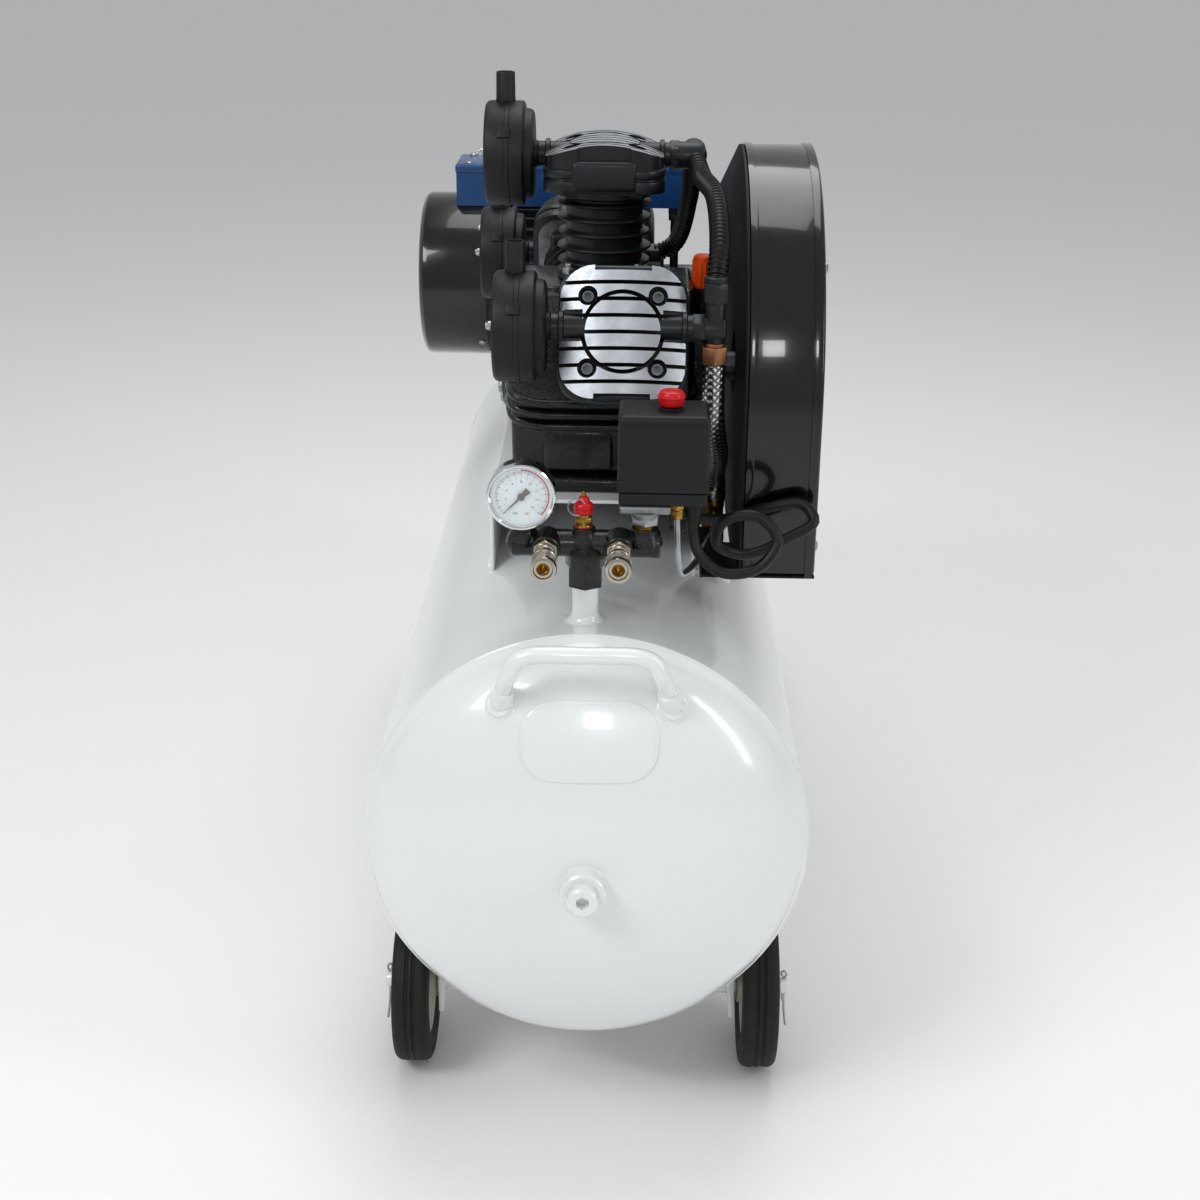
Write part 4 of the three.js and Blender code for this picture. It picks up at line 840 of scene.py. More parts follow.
def make_platform():
    low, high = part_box("platform")
    front, length = (low.y - SEAM.y) / MM, (high.y - low.y) / MM
    half, sheet = 100, 4
    foot = tank_height(half) - 1
    outline = [(half, foot), (half, PLATFORM_TOP), (-half, PLATFORM_TOP), (-half, foot),
               (-half + sheet, foot), (-half + sheet, PLATFORM_TOP - sheet),
               (half - sheet, PLATFORM_TOP - sheet), (half - sheet, foot)]
    deck = extruded([at(x, front, z) for x, z in outline], ALONG * length * MM)
    hole = bar(at(84, 746, PLATFORM_TOP - 20), at(84, 746, PLATFORM_TOP + 20), 9, 32, 0)
    ease_edges(combined(deck, hole), 1.8, 3, 50)
    fit(deck, "platform_deck", "white_powder_coat", replaces=("platform",))
    beads = []
    for side in (-1, 1):
        for run in range(6):
            y = front + 30 + run * (length - 60) / 5
            lumps = [at(side * (half + 0.8), y - 22 + 2 * i, tank_height(half) + 0.8) for i in range(23)]
            beads.append(pipe(lumps, 3.2, 1.0, 10, lambda i: 1 + 0.14 * math.sin(i * 1.6)))
    fit(joined(beads), "platform_welds", "white_powder_coat")
    gland = turned([(5.4, -4), (11, -4), (11, -1), (9, -1), (9, 1), (11, 1), (10, 4), (5.4, 4), (5.4, -4)],
                   at(84, 746, PLATFORM_TOP - 2), UP, 32)
    fit(gland, "platform_grommet", "black_pvc")


make_platform()

# %% [markdown]
# ## Manifold, gauge, safety valve, couplers and pressure switch
#
# The manifold is a black casting that screws on the riser, with a spot-faced boss for each fitting. Fittings
# are all turned from bar, with six flats for a spanner, so each is a nut plus a profile on the lathe.

# %% Manifold
BAR_Y = 40
BAR_Z = 271
BAR_TOP = BAR_Z + 12
GAUGE_X, VALVE_X, SWITCH_PORT_X = -58, -5, 48
COUPLER_XS = {"left": -37, "right": 26}


def nut(start, end, radius, edge=0.8):
    return bar(start, end, radius, 6, edge)


def make_manifold():
    parts = [turned([(0, 0), (11, 0), (12.4, 1.5), (12.4, 7), (12, 9), (12, 121), (12.4, 123), (12.4, 128.5),
                     (11, 130), (0, 130)], at(-68, BAR_Y, BAR_Z), ACROSS, 48)]
    for x, radius in ((GAUGE_X, 10.5), (VALVE_X, 10.5), (SWITCH_PORT_X, 12)):
        spread = [(radius + 4, 0), (radius + 3, 5), (radius + 0.6, 10), (radius, 14), (radius - 1, 15),
                  (0, 15)]
        parts.append(turned([(0, 0), *spread], at(x, BAR_Y, BAR_Z), UP, 40))
    for x in COUPLER_XS.values():
        flare = [(0, 0), (15, 0), (14, 8), (12.4, 13), (12, 19), (11, 20), (0, 20)]
        parts.append(turned(flare, at(x, BAR_Y, BAR_Z), -ALONG, 40))
    foot = turned([(0, 0), (18, 0), (17.5, 10), (17, 18), (0, 18)], at(-3, BAR_Y, BAR_Z - 20), UP, 8)
    parts.append(ease_edges(foot, 1.2, 2, 30))
    parts.append(ease_edges(nut(at(-3, BAR_Y, 232.5), at(-3, BAR_Y, BAR_Z), 16.5), 0.6, 1, 50))
    fit(joined(parts), "manifold_casting", "painted_sand_casting", replaces=("manifold",))
    seal = turned([(0, -1.5), (12.6, -1.5), (12.9, 0), (12.4, 1.5), (0, 1.5)], at(-3, BAR_Y, 232), UP, 40)
    fit(seal, "riser_thread_sealant", "white_powder_coat")


def make_couplers():
    for side, x in COUPLER_XS.items():
        start = at(x, BAR_Y, BAR_Z)
        shank = nut(start - ALONG * 19 * MM, start - ALONG * 27 * MM, 11.6)
        nose = turned([(0, 26), (9, 26), (9, 31), (7.6, 33), (7.6, 63), (8.6, 64), (8.6, 65.4), (7.8, 66.2),
                       (5.6, 66.2), (5.2, 65), (5.2, 50), (0, 50)], start, -ALONG, 48)
        fit(joined([shank, nose]), f"coupler_body_{side}", "nickel_plate")
        seat = turned([(0, 49), (5.1, 49), (5.1, 63), (3.6, 64), (3.6, 54), (0, 54)], start, -ALONG, 40)
        fit(seat, f"coupler_seat_{side}", "turned_brass")
        knurl = [(8.4, 44), (10.4, 44), (11.2, 45), (11.2, 47), (10.3, 48)]
        for ring in range(4):
            level = 50 + ring * 2.4
            knurl += [(10.3, level), (9.9, level + 0.5), (9.9, level + 1.2), (10.3, level + 1.7)]
        knurl += [(10.3, 60.5), (11.4, 62), (11.6, 65.5), (11, 67.5), (8.4, 67.9), (8.4, 44)]
        sleeve = turned(knurl, start, -ALONG, 48)
        fit(sleeve, f"coupler_sleeve_turned_{side}", "nickel_plate", f"sleeve_{side}",
            (f"coupler_sleeve_{side}",))


make_manifold()
make_couplers()

# %% [markdown]
# The **pressure gauge** has a chromed case with a rolled bezel, a printed card and a glass lens. The dial
# is a scale over three quarters of a turn. Each tick is a thin block, copied round the dial, and the
# numbers are text turned into mesh. They are plain pressure numbers, nothing more. The needle is a CAD
# part with its own joint, so a finer needle rides on the same body.

# %% Gauge
GAUGE_Z = BAR_TOP + 34
GAUGE_BACK = BAR_Y + 8
CARD_Y = GAUGE_BACK - 21
SWEEP = math.radians(270)


def on_dial(share, radius, lift=0.0):
    """A place on the dial, at a share of the scale and a radius in millimetres."""
    angle = math.radians(225) - SWEEP * share
    return at(GAUGE_X + radius * math.cos(angle), CARD_Y - lift, GAUGE_Z + radius * math.sin(angle)), angle


def make_gauge():
    centre = at(GAUGE_X, GAUGE_BACK, GAUGE_Z)
    case = turned([(0, 0), (24, 0), (27.5, 1.5), (29, 4), (29, 20.5), (29.6, 21.2), (30, 23), (29.6, 25),
                   (28.6, 26), (27.4, 26), (26.5, 25), (26.2, 22), (26.2, 20.4), (0, 20.4)], centre, -ALONG,
                   96)
    fit(case, "gauge_case_rolled", "polished_chrome", replaces=("gauge_case",))
    card = turned([(0, 20.5), (26.1, 20.5), (26.1, 21), (0, 21)], centre, -ALONG, 96)
    fit(card, "gauge_card", "printed_card")
    lens = turned([(0, 24.4), (26.3, 24.4), (26.3, 25.4), (22, 25.7), (0, 25.9)], centre, -ALONG, 96)
    fit(lens, "gauge_lens", "lens_glass")
    neck = nut(at(GAUGE_X, BAR_Y, BAR_TOP + 5), at(GAUGE_X, BAR_Y, GAUGE_Z - 26), 7)
    fit(neck, "gauge_neck", "turned_brass")
    tape = turned([(0, 0), (8.2, 0), (8.7, 1), (8.0, 2.6), (7, 3.4), (0, 3.4)],
                  at(GAUGE_X, BAR_Y, BAR_TOP + 3), UP, 32)
    fit(tape, "gauge_thread_sealant", "thread_sealant")
    ticks = []
    for step in range(81):
        long_tick = step % 5 == 0
        outer, angle = on_dial(step / 80, 22.4, 0.12)
        inner, angle = on_dial(step / 80, 19.4 if long_tick else 20.8, 0.12)
        ticks.append(bar(inner, outer, 0.22 if long_tick else 0.12, 4, 0))
    for step in range(17):
        outer, angle = on_dial(step / 16, 17.4, 0.12)
        inner, angle = on_dial(step / 16, 16.0, 0.12)
        ticks.append(bar(inner, outer, 0.15, 4, 0))
    fit(joined(ticks), "dial_ticks", "black_ink", smooth=10)


def dial_number(text, place, size):
    deselect()
    bpy.ops.object.text_add(location=(0, 0, 0))
    label = bpy.context.object
    label.data.body = text
    label.data.size = size * MM
    label.data.align_x = "CENTER"
    label.data.align_y = "CENTER"
    label.data.extrude = 0.05 * MM
    bpy.ops.object.convert(target="MESH")
    label = bpy.context.object
    label.matrix_world = Matrix.Translation(place) @ Matrix.Rotation(math.pi / 2, 4, "X")
    return settle(label)


def make_dial_print():
    black = [dial_number(str(n), on_dial(n / 16, 13.4, 0.1)[0], 3.0) for n in range(0, 17, 2)]
    fit(joined(black), "dial_numbers", "black_ink", smooth=10)
    shares = [0.5 + 0.5 * i / 40 for i in range(41)]
    inner = [on_dial(share, 22.9, 0.02)[0] for share in shares]
    outer = [on_dial(share, 24.2, 0.02)[0] for share in shares]
    band = extruded([*inner, *reversed(outer)], -ALONG * 0.12 * MM)
    units = [dial_number("bar", at(GAUGE_X - 5, CARD_Y - 0.1, GAUGE_Z - 15), 3.2)]
    red = [dial_number("psi", at(GAUGE_X + 5, CARD_Y - 0.1, GAUGE_Z - 15), 3.2)]
    fit(joined(units), "dial_unit_inner", "black_ink", smooth=10)
    fit(joined([band, *red]), "dial_red_band", "red_ink", smooth=10)


def make_needle():
    tip, angle = on_dial(0, 21, 1.7)
    lean = Vector((math.cos(angle), 0, math.sin(angle)))
    side = Vector((-math.sin(angle), 0, math.cos(angle)))
    pivot = at(GAUGE_X, CARD_Y - 1.3, GAUGE_Z)
    shape = [(21, 0.15), (4, 0.85), (-3, 1.0), (-4, 2.3), (-8.5, 2.6), (-8.5, -2.6), (-4, -2.3), (-3, -1.0),
             (4, -0.85), (21, -0.15)]
    pointer = extruded([pivot + (lean * a + side * b) * MM for a, b in shape], -ALONG * 0.7 * MM)
    boss = turned([(0, -0.6), (3.2, -0.6), (3.2, 1.0), (2.2, 1.6), (0, 1.7)], pivot, -ALONG, 32)
    fit(joined([pointer, boss]), "gauge_pointer", "black_ink", "needle", ("gauge_needle",))
    print("needle tip:", [round(v, 4) for v in tip])


make_gauge()
make_dial_print()
make_needle()

# %% [markdown]
# The **safety valve** is brass under a red cap with a pull ring. The **pressure switch** is a grey die-cast
# base under a black moulded cover, with a red mushroom knob, a hexagon port under it, a brass fitting for
# the thin unloader tube, and a rubber gland for the motor's lead.

# %% Safety valve
def make_safety_valve():
    base = BAR_TOP + 3.3
    body = joined([
        turned([(0, 0), (7, 0), (7.4, 1), (6.8, 2.4), (0, 2.4)], at(VALVE_X, BAR_Y, base - 0.2), UP, 32),
        nut(at(VALVE_X, BAR_Y, base + 2), at(VALVE_X, BAR_Y, base + 9), 8.2),
        turned([(0, 8), (6.2, 8), (6.2, 11.5), (5, 12), (2, 12.6), (2, 17), (0, 17)],
               at(VALVE_X, BAR_Y, base), UP, 32),
    ])
    fit(body, "safety_valve_brass", "turned_brass", replaces=("safety_valve_body",))
    shoulder = base + 8
    cap = turned([(2.4, 4.4), (7.6, 4.4), (8.4, 5.2), (8.4, 7.5), (7.8, 8.2), (8.4, 9), (8.4, 12),
                  (7.4, 13.4), (5.2, 14.2), (4.6, 18), (3.6, 19.2), (0, 19.4), (0, 10.8), (2.4, 10.8),
                  (2.4, 4.4)],
                 at(VALVE_X, BAR_Y, shoulder), UP, 40)
    fit(cap, "safety_valve_cap", "red_polythene", "relief_ring", ("safety_valve_ring",))
    stem = bar(at(VALVE_X, BAR_Y, shoulder + 18), at(VALVE_X, BAR_Y, shoulder + 24), 1.6, 20, 0.4)
    fit(stem, "safety_valve_stem", "turned_brass", "relief_ring")
    loop = [(-6 + 7.5 * math.cos(a), 0.5 * math.sin(2 * a), 11 + 7.5 * math.sin(a))
            for a in [math.radians(20 + 320 * i / 12) for i in range(13)]]
    ring = pipe([at(VALVE_X + x, BAR_Y + y - 5, shoulder + z) for x, y, z in loop], 0.8, 1.5, 10)
    fit(ring, "safety_pull_ring", "zinc_plate", "relief_ring")
    tape = turned([(0, 0), (8, 0), (8.6, 1), (8, 2), (0, 2)], at(VALVE_X, BAR_Y, BAR_TOP + 2.6), UP, 32)
    fit(tape, "valve_thread_sealant", "thread_sealant")


# %% Pressure switch
SWITCH = {"x": 24, "width": 78, "y": 30, "depth": 58, "z": 307, "height": 81, "base": 13}
LEAD_X, LEAD_Y = 90, 52
UNLOADER_X, UNLOADER_Y = 76, 48


def make_switch():
    x0, y0, z0 = SWITCH["x"], SWITCH["y"], SWITCH["z"]
    x1, y1 = x0 + SWITCH["width"], y0 + SWITCH["depth"]
    tray = block(at(x0 + 1, y0 + 1, z0 + 1), at(x1 - 1, y1 - 1, z0 + SWITCH["base"]), 2.5, 4)
    fit(tray, "switch_tray", "moulded_black_abs", replaces=("switch_base",))
    plate = block(at(x0 + 2, y0 - 1, z0 - 6), at(x0 + 46, y1 - 3, z0 + 1.2), 2.0, 3)
    neck = turned([(0, -17), (9, -17), (10, -14), (14, -6), (14, -5), (0, -5)],
                  at(SWITCH_PORT_X, BAR_Y, z0), UP, 40)
    fit(joined([plate, neck]), "switch_flange", "grey_die_cast_zinc")
    hexagon = nut(at(SWITCH_PORT_X, BAR_Y, BAR_TOP + 7), at(SWITCH_PORT_X, BAR_Y, z0 - 8), 13)
    fit(hexagon, "switch_port_nut", "zinc_plate")
    nipple = turned([(0, 0), (8, 0), (8, 1.5), (7, 2), (8, 2.6), (8, 4.4), (0, 4.4)],
                    at(SWITCH_PORT_X, BAR_Y, BAR_TOP + 3.2), UP, 32)
    fit(nipple, "switch_port_nipple", "turned_brass")
    top = z0 + SWITCH["height"]
    cover = block(at(x0, y0, z0 + SWITCH["base"] + 0.4), at(x1, y1, top), 4.5, 5)
    knob_hole = bar(at(69, 59, top - 9), at(69, 59, top + 5), 6, 32, 0)
    combined(cover, knob_hole)
    skirt = block(at(x0 - 0.6, y0 - 0.6, z0 + SWITCH["base"] + 0.4), at(x1 + 0.6, y1 + 0.6, z0 + 24), 1.4, 3)
    ledge = block(at(x0 + 3, y0 - 0.8, top - 8.4), at(x1 - 3, y0 + 2, top - 7), 0.4, 2)
    fit(joined([cover, skirt, ledge]), "switch_cover_moulded", "moulded_black_abs",
        replaces=("switch_cover",))
    collar = turned([(6.1, -6), (10.5, -6), (10.5, 0.6), (9.5, 1.4), (6.1, 1.4), (6.1, -6)],
                    at(69, 59, top), UP, 40)
    fit(collar, "switch_knob_collar", "moulded_black_abs")
    knob = turned([(0, -12), (5, -12), (5, 2.2), (9.6, 2.6), (10.6, 3.4), (11.2, 5), (11.2, 9), (12, 9.6),
                   (12.2, 10.6), (11.4, 11.4), (11, 13.2), (9.6, 15), (7, 15.9), (0, 16)],
                  at(69, 59, top), UP, 48)
    fit(knob, "switch_knob_mushroom", "red_polythene", "on_off_knob", ("switch_knob",))


def make_switch_fittings():
    z0 = SWITCH["z"]
    brass = joined([
        nut(at(UNLOADER_X, UNLOADER_Y, z0 - 6), at(UNLOADER_X, UNLOADER_Y, z0 + 1), 6.6, 0.5),
        nut(at(UNLOADER_X, UNLOADER_Y, z0 - 15), at(UNLOADER_X, UNLOADER_Y, z0 - 7), 5.6, 0.5),
        bar(at(UNLOADER_X, UNLOADER_Y, z0 - 8), at(UNLOADER_X, UNLOADER_Y, z0 - 5), 4, 24, 0.2),
    ])
    fit(brass, "unloader_fitting", "turned_brass")
    rings = [(5.2, 0), (9.8, 0), (9.8, -5)]
    for i in range(4):
        level = -6 - 3.4 * i
        rings += [(8.8 - 0.7 * i, level), (8.8 - 0.7 * i, level - 2), (7.6 - 0.6 * i, level - 2.4)]
    rings += [(6.2, -21), (5.2, -21), (5.2, 0)]
    gland = turned(rings, at(LEAD_X, LEAD_Y, z0 + 1), UP, 32)
    fit(gland, "motor_lead_gland", "black_pvc")


make_safety_valve()
make_switch()
make_switch_fittings()

# %% [markdown]
# ## The pump
#
# Three cylinders fan out of one crankcase: one leans to the front, one stands up, one leans to the back.
# A piece is modelled once, standing on a cylinder's own axis with the crank at the origin, and is then
# copied on to each bank, which is only a turn about the crank and a step along it.

# %% The three banks
BANKS = [("front", 26, 68), ("middle", 6, 0), ("rear", -14, -68)]  # name, place on the crank, tilt
SEAT = 88  # this and the heights below are measured from the crank along a cylinder's own axis
BARREL = 88
HEAD_BASE = SEAT + BARREL + 0.6
HEAD_TOP = HEAD_BASE + 45
PORT_HEIGHT = HEAD_BASE + 28
PORT_OFFSET = 6
ORIGIN = Vector((0, 0, 0))


def bank_move(x, tilt):
    """From a cylinder's own place to its place on the pump."""
    return Matrix.Translation(on_pump(x, 0, 0)) @ Matrix.Rotation(math.radians(tilt), 4, "X")


def on_pump(x, y, z):
    """A point in millimetres from the crank's axis."""
    return Vector((SEAM.x + x * MM, CRANK.y + y * MM, CRANK.z + z * MM))


def along_bank(tilt, distance, sideways=0):
    """The (y, z) of a point on a tilted bank, at a distance up its axis and a step to its side."""
    lean = math.radians(tilt)
    return (sideways * math.cos(lean) - distance * math.sin(lean),
            sideways * math.sin(lean) + distance * math.cos(lean))


def on_each_bank(piece, name, finish_name, nodes=()):
    """Copies a finished piece on to each bank, standing for that bank's CAD nodes, and puts it away."""
    for bank, x, tilt in BANKS:
        copy = copied(piece, bank_move(x, tilt))
        fit(copy, f"{name}_{bank}", finish_name, replaces=[f"{node}_{bank}" for node in nodes])
    bpy.data.objects.remove(piece)


# %% [markdown]
# A **barrel** is a cast liner with thick, uneven fins. Each fin's edge is round and a little different from
# the next, as sand casting leaves it, so the fins' reach follows a small repeating list. The square flanges
# at both ends carry the bolts.

# %% Barrels
def make_barrels():
    start, end = SEAT + 0.3, SEAT + BARREL + 0.3
    bore, wall, reach, flange, stud = 32.5, 37, 45, 9, 33
    uneven = (0.0, 0.9, -0.6, 0.5, 1.0)
    profile = [(bore, start), (wall + 7, start), (wall + 8, start + 1), (wall + 8, start + 8),
               (wall + 1, start + 9.5)]
    pitch = (BARREL - 2 * flange) / len(uneven)
    for i, extra in enumerate(uneven):
        level = start + flange + pitch * (i + 0.4)
        tip = reach + extra
        profile += [(wall, level - 0.6), (wall + 2, level + 0.4), (tip - 1, level + 1.1), (tip, level + 2.5),
                    (tip - 1, level + 3.9), (wall + 2, level + 4.6), (wall, level + 5.6)]
    profile += [(wall, end - 10), (wall + 2, end - 8.6), (wall + 8, end - 8), (wall + 9, end - 7),
                (wall + 9, end - 1), (wall + 8, end), (bore, end), (bore, start)]
    barrel = turned(profile, ORIGIN, UP, 72)
    corners = []
    for low, high in ((start, start + flange), (end - flange, end)):
        plate = block(Vector((-39, -39, low)) * MM, Vector((39, 39, high)) * MM, 6, 5)
        hole = bar(Vector((0, 0, low - 5)) * MM, Vector((0, 0, high + 5)) * MM, 35, 48, 0)
        corners.append(combined(plate, hole))
    on_each_bank(joined([barrel, *corners]), "cylinder_barrel", "painted_die_casting", ["cylinder"])
    studs = []
    for sx in (-1, 1):
        for sy in (-1, 1):
            foot = Vector((sx * stud, sy * stud, start + flange - 1)) * MM
            studs.append(nut(foot, foot + UP * 7 * MM, 7, 0.8))
            studs.append(bar(foot, foot + UP * 11 * MM, 4, 20, 0.6))
    on_each_bank(joined(studs), "barrel_nuts", "zinc_plate")


make_barrels()

# %% [markdown]
# A **head** is painted black and then milled flat across its ribs, so bright metal shows only on top. The
# finned block is one arched solid with round corners. Slots cut it into ribs, a ring cut frees a round boss
# in the middle, two pockets clear the intake and the outlet, and two notches clear the rims. The faces that
# the cutter touched are then found by their height under the arch, and get the milled finish.

# %% Cylinder heads
HEAD = {"width": 115, "depth": 119, "slab": 22, "corner": 30, "rib": 11.2, "groove": 3.4, "ribs": 8,
        "boss": 33.5}
BOLT_X, BOLT_Y = 31, 32
CLEAR = 300  # a height above every head, where cutters may end


def arch_height(x):
    return HEAD_TOP - 14 * (x / (HEAD["width"] / 2)) ** 2


def rounded_outline(width, depth, corner, z, steps=8):
    outline = []
    for quarter, (sx, sy) in enumerate(((1, 1), (-1, 1), (-1, -1), (1, -1))):
        for i in range(steps + 1):
            angle = math.pi / 2 * (quarter + i / steps)
            x = sx * (width / 2 - corner) + corner * math.cos(angle)
            y = sy * (depth / 2 - corner) + corner * math.sin(angle)
            outline.append(Vector((x, y, z)) * MM)
    return outline


def rib_block():
    width, depth = HEAD["width"] - 3, HEAD["depth"] - 1
    top = extruded(rounded_outline(width, depth, HEAD["corner"], HEAD_BASE + 8), UP * 60 * MM)
    half = HEAD["width"] / 2 + 4
    arch = [Vector((half * (1 - i / 12), -90, arch_height(half * (1 - i / 12)))) * MM for i in range(25)]
    side = [Vector((-half, -90, HEAD_BASE)) * MM, Vector((half, -90, HEAD_BASE)) * MM]
    return combined(top, extruded([*arch, *side], ALONG * 180 * MM), "INTERSECT")


def rib_cutters():
    cutters = []
    pitch = HEAD["rib"] + HEAD["groove"]
    first = -pitch * (HEAD["ribs"] - 2) / 2
    floor = HEAD_BASE + HEAD["slab"]
    for i in range(HEAD["ribs"] - 1):
        y = first + pitch * i
        low = Vector((-80, y - HEAD["groove"] / 2, floor)) * MM
        cutters.append(block(low, Vector((80, y + HEAD["groove"] / 2, CLEAR)) * MM, 0))
    boss = HEAD["boss"]
    ring = turned([(boss, floor), (boss + 3.6, floor), (boss + 3.6, CLEAR), (boss, CLEAR), (boss, floor)],
                  ORIGIN, UP, 64)
    cutters.append(ring)
    for sx in (-1, 1):
        near, far = sorted((sx * (boss + 2), sx * 80))
        pocket = block(Vector((near, PORT_OFFSET - 14, PORT_HEIGHT + 5)) * MM,
                       Vector((far, PORT_OFFSET + 14, CLEAR)) * MM, 0)
        cutters.append(pocket)
        for sy in (-1, 1):
            place = Vector((sx * BOLT_X, sy * BOLT_Y, floor + 6)) * MM
            cutters.append(bar(place, place + UP * 100 * MM, 8.6, 32, 0))
    for sy in (-1, 1):
        near, far = sorted((sy * 54.5, sy * 80))
        cutters.append(block(Vector((-25, near, floor)) * MM, Vector((25, far, CLEAR)) * MM, 0))
    return cutters


def mill_tops(piece):
    """Gives the faces that lie on the arch the milled finish, and all others the paint."""
    piece.data.materials.append(FINISHES["painted_die_casting"])
    piece.data.materials.append(FINISHES["milled_aluminium"])
    level, margin = 0.75, 0.8  # how far a face looks up, and the millimetres it may lie under the arch
    for face in piece.data.polygons:
        lowest = (arch_height(face.center.x / MM) - margin) * MM
        face.material_index = int(face.normal.z > level and face.center.z > lowest)


def make_heads():
    ribs = rib_block()
    for cutter in rib_cutters():
        combined(ribs, cutter)
    mill_tops(ribs)
    on_each_bank(ribs, "head_ribs", "painted_die_casting", ["cylinder_head"])
    slab = extruded(rounded_outline(HEAD["width"], HEAD["depth"], 24, HEAD_BASE), UP * HEAD["slab"] * MM)
    groove = extruded(rounded_outline(HEAD["width"] + 9, HEAD["depth"] + 9, 28, HEAD_BASE + 12),
                      UP * 2.5 * MM)
    core = extruded(rounded_outline(HEAD["width"] - 5, HEAD["depth"] - 5, 22, HEAD_BASE + 10), UP * 8 * MM)
    slab = combined(slab, combined(groove, core))
    for sy in (-1, 1):
        near, far = sorted((sy * 50, sy * 61.5))
        tongue = block(Vector((-31, near, HEAD_BASE + 2)) * MM, Vector((31, far, HEAD_BASE + 31)) * MM, 5, 4)
        slab = joined([slab, tongue])
    ease_edges(slab, 1.2, 2, 50)
    on_each_bank(slab, "head_slab", "painted_die_casting")
    ports = []
    for side in (-1, 1):
        reach = [(0, 20), (12, 20), (12, 52), (14.5, 53), (14.5, 56.5), (12, 57.5),
                 (12, 62 if side > 0 else 63.5), (0, 62 if side > 0 else 63.5)]
        place = Vector((0, PORT_OFFSET, PORT_HEIGHT)) * MM
        ports.append(turned(reach, place, ACROSS * side, 40))
        root = block(Vector((min(side * 35, side * 55), PORT_OFFSET - 13, HEAD_BASE + 8)) * MM,
                     Vector((max(side * 35, side * 55), PORT_OFFSET + 13, PORT_HEIGHT + 3)) * MM, 4, 4)
        ports.append(root)
    on_each_bank(joined(ports), "head_ports", "painted_die_casting")


def make_head_bolts():
    floor = HEAD_BASE + HEAD["slab"]
    bolts, rings = [], []
    for sx in (-1, 1):
        for sy in (-1, 1):
            place = Vector((sx * BOLT_X, sy * BOLT_Y, floor + 6)) * MM
            rings.append(turned([(6.4, 0), (8.3, 0), (8.3, 8.4), (7.6, 9), (6.9, 8.4), (6.4, 0)], place, UP,
                                32))
            bolt = turned([(0, 0), (5.8, 0), (5.8, 7.2), (5.2, 8), (0, 8)], place, UP, 32)
            socket = bar(place + UP * 3.5 * MM, place + UP * 12 * MM, 3.3, 6, 0)
            bolts.append(combined(bolt, socket))
    on_each_bank(joined(bolts), "head_bolts", "machined_iron")
    on_each_bank(joined(rings), "head_bolt_seats", "painted_die_casting")
    gasket = extruded(rounded_outline(HEAD["width"] - 12, HEAD["depth"] - 12, 22, HEAD_BASE - 0.9),
                      UP * 1.0 * MM)
    on_each_bank(gasket, "head_gasket", "drawn_aluminium")


make_heads()
make_head_bolts()

# %% [markdown]
# The **air filters** are moulded drums that hang on the intake stubs, with a snorkel that keeps rain out.
# A wing nut on the outer face holds each cover on, and ribs round the rim give fingers a grip.

# %% Air filters
def make_filters():
    radius, reach, depth = 50, 76, 38
    rim = [(0, 63.8), (11.6, 63.8), (12.6, 65), (12.6, 67.6), (15, 68), (38, 68), (41, 69.5), (42, 73),
           (42.4, 76), (47, 76.6), (48.8, 78), (49.2, 80), (49.2, 90), (50, 90.6), (50, 94.5), (49.2, 95),
           (49.2, 109), (48.2, 112), (46, 113.8), (30, 114), (29, 113.2), (22, 113.2), (21, 114), (0, 114)]
    for bank, x, tilt in BANKS:
        y, z = along_bank(tilt, PORT_HEIGHT, PORT_OFFSET)
        centre = on_pump(x, y, z)
        drum = turned(rim, centre, -ACROSS, 80)
        middle = centre - ACROSS * (reach + depth / 2) * MM
        pipe_profile = [(6.8, radius - 12), (9, radius - 12), (9, radius - 3), (9.6, radius - 1),
                        (9.2, radius + 1),
                        (8.9, radius + 25), (8.5, radius + 26), (7, radius + 26), (6.8, radius + 25),
                        (6.8, radius - 12)]
        snorkel = turned(pipe_profile, middle, UP, 40)
        clips = []
        for i in range(3):
            turn = Matrix.Rotation(ALL_ROUND * (i + 0.5) / 3, 4, "X")
            clip = block(Vector((-6, -5, 48.6)) * MM, Vector((6, 5, 51.4)) * MM, 0.9, 2)
            clips.append(copied(clip, Matrix.Translation(middle) @ turn))
            bpy.data.objects.remove(clip)
        fit(joined([drum, snorkel, *clips]), f"air_filter_drum_{bank}", "moulded_black_abs",
            replaces=(f"air_filter_{bank}",))
        face = centre - ACROSS * (reach + depth) * MM
        hub = turned([(0, -0.5), (8, -0.5), (8, 0.6), (4.2, 0.8), (4.2, 5.6), (2.6, 6.4), (2.6, 8), (0, 8)],
                     face, -ACROSS, 32)
        wings = []
        for side in (-1, 1):
            wing = block(face + Vector((-6.6, side * 7 - 5, -1)) * MM,
                         face + Vector((-1.6, side * 7 + 5, 1)) * MM, 0.9, 3)
            wings.append(wing)
        fit(joined([hub, *wings]), f"filter_wing_nut_{bank}", "zinc_plate")


make_filters()

# %% [markdown]
# The **crankcase** is one rough casting: a broad bolted foot, sloped shoulders that carry the side barrels,
# and three wavy ribs round its front. Sand casting leaves no sharp edge, so all of them are eased by
# several millimetres. The bearing covers on both ends are turned discs, and the left one has a ring of bolts.

# %% Crankcase
PUMP_LEFT, PUMP_RIGHT = -80, 92


